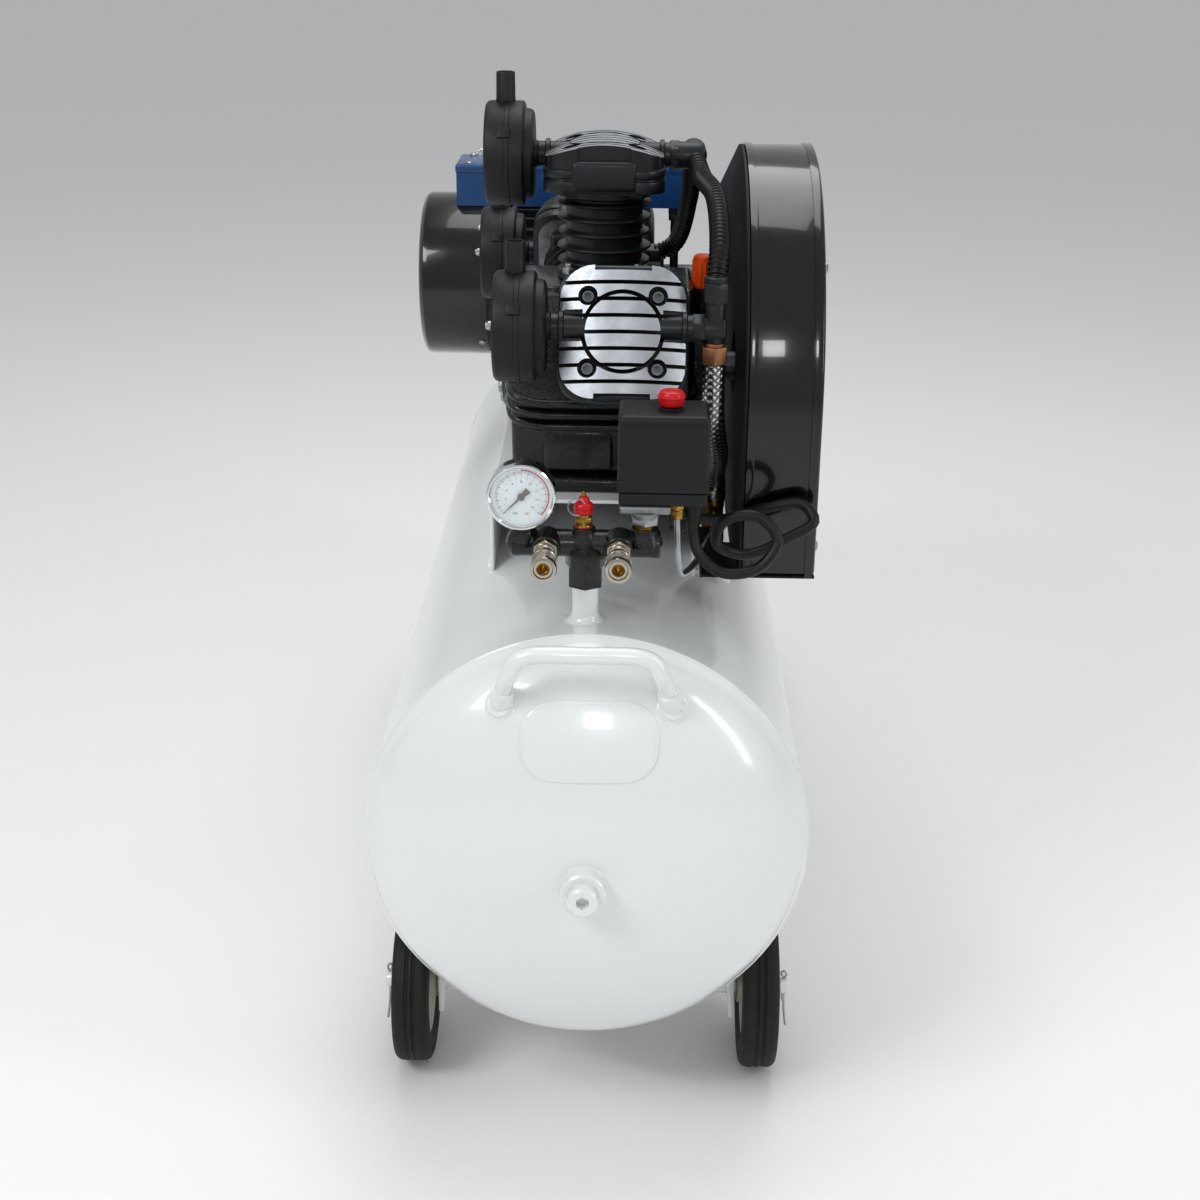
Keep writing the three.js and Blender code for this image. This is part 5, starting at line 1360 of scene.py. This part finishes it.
def make_crankcase():
    half = 50
    foot = -104.7
    outline = [(-95, foot), (95, foot), (95, foot + 14), (80, foot + 19), along_bank(-68, SEAT, half),
               along_bank(-68, SEAT, -half), along_bank(0, SEAT, half), along_bank(0, SEAT, -half),
               along_bank(68, SEAT, half), along_bank(68, SEAT, -half), (-80, foot + 19), (-95, foot + 14)]
    body = extruded([on_pump(PUMP_LEFT, y, z) for y, z in outline], ACROSS * (PUMP_RIGHT - PUMP_LEFT) * MM)
    ease_edges(body, 5, 4, 25)
    fit(body, "crankcase_casting", "painted_sand_casting", replaces=("crankcase",))
    ribs = []
    for i in range(3):
        z = -12 - 12 * i
        front = -103.5 - 0.28 * (z + 13.4)  # the casting's face slopes back towards the foot
        wave = [(PUMP_LEFT - 1, -34, z + 12), (PUMP_LEFT - 2, front + 24, z + 9),
                (PUMP_LEFT + 4, front + 5, z + 5),
                (PUMP_LEFT + 22, front, z), (PUMP_LEFT + 60, front, z - 1), (PUMP_RIGHT - 40, front, z),
                (PUMP_RIGHT - 14, front + 2, z + 2), (PUMP_RIGHT + 1, front + 18, z + 4),
                (PUMP_RIGHT + 1, -34, z + 5)]
        ribs.append(pipe([on_pump(*point) for point in wave], 4.2, 4, 12))
    fit(joined(ribs), "crankcase_ribs", "painted_sand_casting")
    panel = block(on_pump(PUMP_LEFT + 30, -92, -84), on_pump(PUMP_LEFT + 98, -76, -42), 5, 5)
    fit(panel, "crankcase_front_panel", "painted_sand_casting")
    flange_bolts = []
    for x in (PUMP_LEFT + 16, PUMP_RIGHT - 16):
        for y in (-87.5, 87.5):
            flange_bolts.append(nut(on_pump(x, y, foot + 13), on_pump(x, y, foot + 21), 7.5, 1.0))
            flange_bolts.append(turned([(0, 0), (11, 0), (11, 1.6), (0, 1.6)], on_pump(x, y, foot + 12.6),
                                       UP, 32))
    fit(joined(flange_bolts), "crankcase_foot_bolts", "zinc_plate")


def make_bearing_covers():
    right = turned([(14.6, -4), (49, -4), (47, 0), (44, 4), (44, 19), (42, 22), (26, 22), (24, 20),
                    (14.6, 20), (14.6, -4)], on_pump(PUMP_RIGHT, 0, 0), ACROSS, 72)
    left = turned([(0, -4), (49, -4), (47, 0), (44, 3), (44, 9), (42, 12), (20, 12), (18, 10.5), (0, 10.5)],
                  on_pump(PUMP_LEFT, 0, 0), -ACROSS, 72)
    fit(right, "bearing_cover_right", "painted_sand_casting")
    fit(left, "bearing_cover_left", "painted_sand_casting")
    bolts = []
    for i in range(6):
        angle = ALL_ROUND * (i + 0.5) / 6
        y, z = 35 * math.cos(angle), 35 * math.sin(angle)
        bolts.append(nut(on_pump(PUMP_LEFT - 11, y, z), on_pump(PUMP_LEFT - 16, y, z), 5.8, 0.7))
    fit(joined(bolts), "bearing_cover_bolts", "zinc_plate")
    neck_x = PUMP_RIGHT + 11
    neck = turned([(6.2, 36), (10, 36), (10, 70), (11.4, 71), (11.4, 77.4), (10.6, 78), (6.2, 78), (6.2, 36)],
                  on_pump(neck_x, 0, 0), UP, 40)
    fit(neck, "oil_filler_neck", "painted_sand_casting")
    grip = [(0, 64), (5.4, 64), (5.4, 78.4), (9.6, 78.6), (10, 79.4), (10, 106), (9.2, 109), (7.4, 110.3),
            (0, 110.3)]
    parts = [turned(grip, on_pump(neck_x, 0, 0), UP, 48)]
    for i in range(14):
        angle = ALL_ROUND * i / 14
        x, y = neck_x + 9.9 * math.cos(angle), 9.9 * math.sin(angle)
        parts.append(bar(on_pump(x, y, 80), on_pump(x, y, 105), 0.9, 10, 0.4))
    fit(joined(parts), "oil_filler_plug", "orange_polythene", "oil_cap", ("oil_filler_cap",))


make_crankcase()
make_bearing_covers()
for part in ("piston_front", "piston_middle", "piston_rear"):
    repaint(part, "drawn_aluminium")
for part in ("connecting_rod_front", "connecting_rod_middle", "connecting_rod_rear"):
    repaint(part, "drawn_aluminium")
repaint("crankshaft", "machined_iron")

# %% [markdown]
# ## The belt drive
#
# The flywheel's twisted spokes are fan blades that cool the cylinders, and its flat rim sits between two
# low flanges that keep the belts on. The pulley on the motor is a third of its size. Both are turned
# profiles, and each rides on its own body, so that it spins in the poses.

# %% Flywheel, pulley and belts
WHEEL_LEFT, WHEEL_RIGHT = 148, 190
BELT_LEFT, BELT_RIGHT = 154, 184
SEAT_HIGH, FLANGE_HIGH = 151.9, 159.9
PULLEY_SEAT, PULLEY_FLANGE = 47.9, 55.9
BORE = 14.4


def on_motor(x, y, z):
    """A point in millimetres from the motor's axis."""
    return Vector((SEAM.x + x * MM, ROTOR.y + y * MM, ROTOR.z + z * MM))


def grooved_rim(seat, flange, inner):
    """Two flanges beside a flat seat, as a ring whose inside is at a radius."""
    left, right = BELT_LEFT - 0.6, BELT_RIGHT + 0.6
    return [(inner, WHEEL_LEFT), (flange - 1, WHEEL_LEFT), (flange, WHEEL_LEFT + 1), (flange, left - 0.4),
            (seat, left), (seat, right), (flange, right + 0.4), (flange, WHEEL_RIGHT - 1),
            (flange - 1, WHEEL_RIGHT), (inner, WHEEL_RIGHT), (inner, WHEEL_LEFT)]


def make_wheels_of_the_drive():
    centre = on_pump(0, 0, 0)
    rim = turned(grooved_rim(SEAT_HIGH, FLANGE_HIGH, 133.9), centre, ACROSS, 128)
    hub = turned([(BORE, 144), (27, 144), (28, 145), (28, 189), (27, 190), (BORE, 190), (BORE, 144)], centre,
                 ACROSS, 48)
    spokes = []
    for i in range(5):
        spoke = block(Vector((-15, -5, 24)) * MM, Vector((15, 5, 136)) * MM, 2, 3)
        turn = Matrix.Rotation(ALL_ROUND * i / 5, 4, "X") @ Matrix.Rotation(math.radians(35), 4, "Z")
        spokes.append(copied(spoke, Matrix.Translation(on_pump(169, 0, 0)) @ turn))
        bpy.data.objects.remove(spoke)
    fit(joined([rim, hub, *spokes]), "flywheel_casting", "painted_sand_casting", "crank", ("flywheel",))
    profile = grooved_rim(PULLEY_SEAT, PULLEY_FLANGE, 38)
    web = [(BORE, WHEEL_LEFT), (24, WHEEL_LEFT), (26, WHEEL_LEFT + 8), (39, WHEEL_LEFT + 10),
           (39, WHEEL_RIGHT - 10), (26, WHEEL_RIGHT - 8), (24, WHEEL_RIGHT), (BORE, WHEEL_RIGHT),
           (BORE, WHEEL_LEFT)]
    pulley = [turned(points, on_motor(0, 0, 0), ACROSS, 72) for points in (profile, web)]
    fit(joined(pulley), "pulley_casting", "machined_iron", "rotor", ("motor_pulley",))


def arc(centre, radius, start, end, steps):
    """Points round a centre, as (y, z) in millimetres."""
    points = []
    for i in range(steps + 1):
        angle = start + (end - start) * i / steps
        points.append((centre[0] + radius * math.cos(angle), centre[1] + radius * math.sin(angle)))
    return points


def belt_loop(large, small, x):
    """The loop round both wheels, for two radii, in the plane at x."""
    reach = Vector((0, (ROTOR.y - CRANK.y) / MM, (ROTOR.z - CRANK.z) / MM))
    lean = math.atan2(reach.z, reach.y)
    open_by = math.acos((large - small) / reach.length)
    loop = arc((reach.y, reach.z), small, lean - open_by, lean + open_by, 40)
    loop += arc((0, 0), large, lean + open_by, lean - open_by + ALL_ROUND, 90)
    return [on_pump(x, y, z) for y, z in loop]


def make_belts():
    thick = 7
    outer_large, outer_small = SEAT_HIGH + 0.6 + thick, PULLEY_SEAT + 0.6 + thick
    across = ACROSS * (BELT_RIGHT - BELT_LEFT) * MM
    belt = extruded(belt_loop(outer_large, outer_small, BELT_LEFT), across)
    combined(belt, extruded(belt_loop(outer_large - thick, outer_small - thick, BELT_LEFT - 5), across * 2))
    middle = (BELT_LEFT + BELT_RIGHT) / 2 - 1
    ring = extruded(belt_loop(outer_large + 3, outer_small + 3, middle), ACROSS * 2 * MM)
    combined(ring, extruded(belt_loop(outer_large - 4, outer_small - 4, middle - 1), ACROSS * 4 * MM))
    combined(belt, ring)
    fit(belt, "belt_pair", "tyre_rubber", replaces=("drive_belt",))


make_wheels_of_the_drive()
make_belts()

# %% [markdown]
# The **guard** is a deep pressed cover in gloss black enamel. Its outline wraps the flywheel at the front
# and the pulley at the back, with straight runs between. The outline is a list of points, so one function
# gives the shell, the cut inside it and the two beads that are rolled into its rims, each at its own inset.

# %% Belt guard
COVER_LEFT, COVER_RIGHT, SHEET = 138.8, 206, 2.5


def guard_outline(inset, x):
    front, back = 207 - inset, 97 - inset
    lean = math.atan2(-5, 440)
    open_by = lean + math.acos((front - back) / math.hypot(440, 5))
    points = [(-front, -144 + inset), (-115 - inset, -144 + inset), (-85 - inset, -170 + inset),
              (50, -170 + inset)]
    points += arc((440, 3), back, math.radians(-80), open_by, 48)
    points += arc((0, 8), front, open_by, math.pi, 48)
    return [on_pump(x, y, z) for y, z in points]


def guard_ring(outer, inner, left, right, edge):
    """What lies between two insets of the guard's outline, from left to right."""
    ring = extruded(guard_outline(outer, left), ACROSS * (right - left) * MM)
    combined(ring, extruded(guard_outline(inner, left - 5), ACROSS * (right - left + 10) * MM))
    ease_edges(ring, edge, 3, 30)
    return ring


def make_guard_cover():
    cover = extruded(guard_outline(0, COVER_LEFT), ACROSS * (COVER_RIGHT - COVER_LEFT) * MM)
    ease_edges(cover, 4, 4, 30)
    combined(cover, extruded(guard_outline(SHEET, COVER_LEFT - 10),
                             ACROSS * (COVER_RIGHT - COVER_LEFT + 7) * MM))
    beads = [guard_ring(-1.6, 1, 139.4, 146.4, 1.4), guard_ring(-1.6, 1, 196.5, 203.5, 1.4)]
    fit(joined([cover, *beads]), "guard_pressing", "black_gloss_enamel", replaces=("belt_guard_cover",))
    rings, screws = [], []
    for y, z, radius in ((0, 0, 120), (0, 0, 44), (440, -5, 62)):
        profile = [(radius, -0.6), (radius + 1.4, 1), (radius + 3.2, 1.8), (radius + 5, 1),
                   (radius + 6.4, -0.6), (radius, -0.6)]
        rings.append(turned(profile, on_pump(COVER_RIGHT, y, z), ACROSS, 96))
    fit(joined(rings), "guard_pressed_rings", "black_gloss_enamel")
    for y, z in ((-190, -120), (-60, -152), (150, -152), (330, -152), (515, 20), (370, 118), (180, 158),
                 (-150, 130)):
        screws.append(turned([(0, -0.5), (5, -0.5), (5, 1.4), (3.6, 2.8), (1.4, 3.1), (0, 3.1)],
                             on_pump(COVER_RIGHT, y, z), ACROSS, 24))
    fit(joined(screws), "guard_screws", "zinc_plate")


def make_guard_back():
    plate_left = 136
    back = extruded(guard_outline(0, plate_left), ACROSS * SHEET * MM)
    combined(back, bar(on_pump(plate_left - 9, 0, 0), on_pump(plate_left + 9, 0, 0), 36, 64, 0))
    combined(back, bar(on_motor(plate_left - 9, 0, 0), on_motor(plate_left + 9, 0, 0), 26, 64, 0))
    plates = [((102.8, -207, -146.8), (206, -118, -144.3), 0.8),
              ((100.3, -114, -170), (102.8, -75, -114), 0.8),
              ((100.3, -123, -146.6), (114.3, -75, -144.2), 0.8),
              ((116, -205, -145), (138.5, -185, -142), 0.8), ((136, -205, -145), (138.5, -147, -138), 0.8)]
    pieces = [back]
    for low, high, edge in plates:
        pieces.append(block(on_pump(*low), on_pump(*high), edge, 2))
    fit(joined(pieces), "guard_back_plate", "black_satin_enamel", replaces=("belt_guard_back",))
    rolled = pipe([on_pump(102, y, -145.6) for y in (-207, -180, -150, -119)], 1.6, 8, 12)
    fit(rolled, "guard_shelf_rolled_edge", "black_gloss_enamel")


make_guard_cover()
make_guard_back()

# %% [markdown]
# ## The motor
#
# A finned aluminium frame sits between two bell ends, with a fan under a slotted cover at the left and a
# blue sheet-metal box for the capacitors on top. The fins are one block, copied round the frame.

# %% Motor frame and feet
def make_motor_frame():
    profile = [(BORE, -147), (88, -147), (92, -145), (94, -142), (94, -124), (93, -122), (84, -121), (84, 34),
               (93, 35), (94, 37), (94, 42), (92, 47), (86, 54), (78, 58.5), (70, 60), (34, 60), (32, 61),
               (32, 70), (31, 72), (BORE, 72), (BORE, -147)]
    parts = [turned(profile, on_motor(0, 0, 0), ACROSS, 96)]
    fins = 36
    for i in range(fins):
        angle = ALL_ROUND * (i + 0.5) / fins
        fin = block(Vector((-121.4, -1.5, 82)) * MM, Vector((34.4, 1.5, 95)) * MM, 0.8, 2)
        turn = Matrix.Translation(on_motor(0, 0, 0)) @ Matrix.Rotation(angle, 4, "X")
        parts.append(copied(fin, turn))
        bpy.data.objects.remove(fin)
    bolts = []
    for sx in (-1, 1):
        parts.append(block(on_motor(sx * 60 - 3, -66, -98), on_motor(sx * 60 + 3, 66, -50), 1.5, 2))
        for sy in (-1, 1):
            parts.append(block(on_motor(sx * 45 - 18, sy * 66 - 22, -99.7),
                               on_motor(sx * 45 + 18, sy * 66 + 22, -88), 2.5, 3))
            foot = on_motor(sx * 42, sy * 76, -88.4)
            bolts.append(turned([(0, 0), (9, 0), (9, 1.4), (0, 1.4)], foot, UP, 28))
            bolts.append(nut(foot + UP * MM, foot + UP * 8 * MM, 7, 0.9))
    fit(joined(parts), "motor_frame", "painted_die_casting", replaces=("motor_housing",))
    fit(joined(bolts), "motor_foot_bolts", "zinc_plate")


def make_fan_cover():
    profile = [(94.5, -137), (97, -137), (97, -206), (96, -211), (92, -215), (86, -217), (0, -217),
               (0, -214.3), (85, -214.3), (90.4, -212.4), (93.6, -209), (94.5, -205), (94.5, -137)]
    cover = turned(profile, on_motor(0, 0, 0), ACROSS, 96)
    for row in range(1, 6):
        z = -42 + 14 * row
        for side in (-1, 1):
            near, far = sorted((side * 8, side * (70 - 6 * row)))
            combined(cover, block(on_motor(-224, near, z - 3), on_motor(-208, far, z + 3), 2.9, 4))
    fit(cover, "fan_cover_pressing", "black_gloss_enamel", replaces=("fan_cover",))
    screws = []
    for i in range(4):
        angle = ALL_ROUND * (i + 0.5) / 4
        outward = Vector((0, math.cos(angle), math.sin(angle)))
        place = on_motor(-144, 0, 0) + outward * 96.4 * MM
        screws.append(turned([(0, 0), (4.2, 0), (4.2, 1.4), (3, 2.6), (0, 2.8)], place, outward, 24))
    fit(joined(screws), "fan_cover_screws", "zinc_plate")


def make_capacitor_box():
    box = block(on_motor(-175, -40, 80), on_motor(96, 40, 134), 3, 3)
    combined(box, bar(on_motor(-300, 0, 0), on_motor(300, 0, 0), 97.5, 96, 0))
    lid = block(on_motor(-176, -41, 126), on_motor(97, 41, 137.3), 3.5, 4)
    fit(joined([box, lid]), "capacitor_box_shell", "blue_enamel", replaces=("capacitor_box",))
    screws = []
    for x in (-160, -40, 81):
        for y in (-31, 31):
            screws.append(turned([(0, -0.5), (4.4, -0.5), (4.4, 1), (3.2, 2.2), (0, 2.4)],
                                 on_motor(x, y, 137.3), UP, 24))
    fit(joined(screws), "capacitor_box_screws", "zinc_plate")
    gland = [nut(at(84, 746, 430), at(84, 746, 438), 9, 1),
             bar(at(84, 746, 422), at(84, 746, 431), 7.4, 28, 1.4)]
    fit(joined(gland), "cable_gland", "moulded_black_abs")


make_motor_frame()
make_fan_cover()
make_capacitor_box()
repaint("motor_rotor", "machined_iron")
repaint("cooling_fan", "moulded_black_abs")

# %% [markdown]
# ## Air lines and cable
#
# The heads hand their air to each other through corrugated tube, which is a pipe whose radius steps in and
# out along its length. The braid is a pattern that follows the hose, so the hose gets its own map of
# length against girth, in metres.

# %% Delivery pipes
TEE = (107.8, 142.5, 437.2)
ELBOW = (91.8, 336, 559.6)
TUBE = 9.5


def corrugated(points):
    return pipe([at(*point) for point in points], TUBE, 1.25, 20, lambda i: (1.0, 1.0, 0.84, 0.84)[i % 4])


def make_delivery_pipes():
    x, y, z = TEE
    lower = [(x, y, z + 38), (x + 3, y + 22, z + 66), (x + 1, y + 90, z + 100), (x - 10, 302, 545.6), ELBOW]
    upper = [(55.8, 522, 426.1), (77.8, 518, 438.1), (91.8, 472, 496.1), (91.8, 396.3, 555.6),
             (91.8, 364.3, 559.6)]
    fit(corrugated(lower), "delivery_tube_front", "corrugated_nylon", replaces=("delivery_pipe_front",))
    fit(corrugated(upper), "delivery_tube_rear", "corrugated_nylon", replaces=("delivery_pipe_rear",))
    bodies = [bar(at(x - 20, y, z), at(x + 10, y, z), 11, 40, 3),
              bar(at(x, y, z - 14), at(x, y, z + 26), 9, 36, 1),
              bar(at(67.8, 336, 559.6), at(101.8, 336, 559.6), 13, 40, 4),
              bar(at(91.8, 336, 559.6), at(91.8, 356, 559.6), 12, 40, 1),
              bar(at(91.8, 356.3, 559.6), at(91.8, 370.3, 559.6), 12, 40, 1.4),
              nut(at(x - 20, y, z), at(x - 9, y, z), 13.4, 1),
              nut(at(67.8, 336, 559.6), at(77, 336, 559.6), 14.4, 1),
              nut(at(x, y, z + 24), at(x, y, z + 42), 12, 1),
              nut(at(47.8, 522, 426.1), at(63.8, 522, 426.1), 12, 1),
              bar(at(x, y, z + 42), at(x, y, z + 47), 10.6, 32, 1)]
    fit(joined(bodies), "delivery_fittings", "painted_die_casting")
    swivel = [nut(at(x, y, z - 31), at(x, y, z - 15), 13, 1.2),
              bar(at(x, y, z - 16), at(x, y, z - 12), 10, 32, 0.8)]
    fit(joined(swivel), "hose_swivel_nut", "bronze_nut")


make_delivery_pipes()


# %% Hose, check valve, unloader tube
def lay_braid_map(piece, points, radius):
    """A map with the length along the hose as u and the way round it as v, both in metres."""
    path = through(points, 4)
    reach = [0]
    for before, after in zip(path, path[1:]):
        reach.append(reach[-1] + (after - before).length)
    spots = []
    for vertex in piece.data.vertices:
        i = min(range(len(path)), key=lambda k: (path[k] - vertex.co).length)
        tangent = path[min(i + 1, len(path) - 1)] - path[max(i - 1, 0)]
        side = tangent.normalized().cross(ACROSS)
        offset = vertex.co - path[i]
        spots.append((reach[i], math.atan2(offset.dot(side), offset.dot(ACROSS))))
    layer = piece.data.uv_layers.active
    for face in piece.data.polygons:
        last = max(spots[index][1] for index in face.vertices)
        for corner, index in zip(face.loop_indices, face.vertices):
            along, turn = spots[index]
            if last - turn > math.pi:
                turn += ALL_ROUND
            layer.data[corner].uv = (along, turn * radius * MM)


def make_hose():
    points = [(107.8, 142.5, 405.4), (107.8, 142.5, 393.4), (108.8, 146.5, 355.4), (116, 192.5, 307.5),
              (118, 261, 267.5), (118, 275, 247.5), (118, 275, 234.3)]
    places = [at(*point) for point in points]
    hose = pipe(places, 10.6, 4, 24)
    lay_braid_map(hose, places, 10.6)
    fit(hose, "braided_hose", "stainless_braid", replaces=("discharge_hose",))
    profile = [(9, 0), (11.8, 0), (12, 2), (12, 8), (11.2, 9.4), (11.2, 11), (12, 12.4), (12, 19),
               (11.4, 20.5), (9, 20.5), (9, 0)]
    fit(turned(profile, places[-1], UP, 40), "hose_ferrule", "nickel_plate")


def make_check_valve():
    x, y = 118, 275
    body = [(0, 202), (11, 202), (11, 206), (9.4, 208), (9.4, 212), (10.4, 213), (10.4, 225), (11, 226),
            (11, 233.5), (0, 233.5)]
    parts = [nut(at(x, y, 185.8), at(x, y, 203.5), 13, 1.2), turned(body, at(x, y, 0), UP, 40),
             bar(at(x, y, 219.5), at(x, y - 19, 219.5), 4.6, 28, 0.5),
             nut(at(x, y - 11, 219.5), at(x, y - 20, 219.5), 6.4, 0.7)]
    fit(joined(parts), "check_valve_brass", "turned_brass", replaces=("check_valve",))
    bore = [(76, 48, 293.2), (78, 44, 259.2), (80, 52, 239.2), (96, 108, 229.2), (110, 185, 222.5),
            (118, 229, 219.5), (118, 254.2, 219.5)]
    tube = pipe([at(*point) for point in bore], 3, 3, 16)
    fit(tube, "unloader_line", "drawn_aluminium", replaces=("unloader_tube",))


make_hose()
make_check_valve()

# %% [markdown]
# The **motor's lead** hangs in two slack turns beside the switch and then runs under the platform to the
# capacitor box. One smooth curve through its points makes it, so no bend shows a corner.

# %% Lead and drain screw
def make_lead():
    path = [(90, 52, 288.2), (90, 52, 280.2), (95, 46, 262.2), (116, 38, 246.2), (148, 40, 250.2),
            (164, 48, 274.2),
            (146, 56, 292.2), (118, 60, 286.2), (112, 68, 262.2), (140, 78, 248.2), (178, 86, 262.2),
            (200, 96, 274.2), (190, 108, 286.2), (156, 112, 280.2), (124, 122, 266.2), (102, 156, 254.2),
            (80, 203, 226.65), (80, 255, 214.65), (80, 455, 214.65), (80, 686, 214.65), (84, 738, 228.65),
            (84, 746, 260), (84, 746, 340), (84, 746, 436.2)]
    fit(pipe([at(*point) for point in path], 5, 4, 16), "motor_lead", "black_pvc", replaces=("motor_cable",))


def make_drain_screw():
    place = at(0, 550, 0)
    stem = turned([(0, -212.3), (5, -212.3), (8, -213.4), (8, -222), (6.8, -223), (6.8, -230), (5.6, -232),
                   (0, -232)],
                  place, UP, 32)
    wing = block(at(-16, 547, -238), at(16, 553, -228), 2, 4)
    fit(joined([stem, wing]), "drain_wing_screw", "turned_brass", "drain", ("drain_screw",))


make_lead()
make_drain_screw()
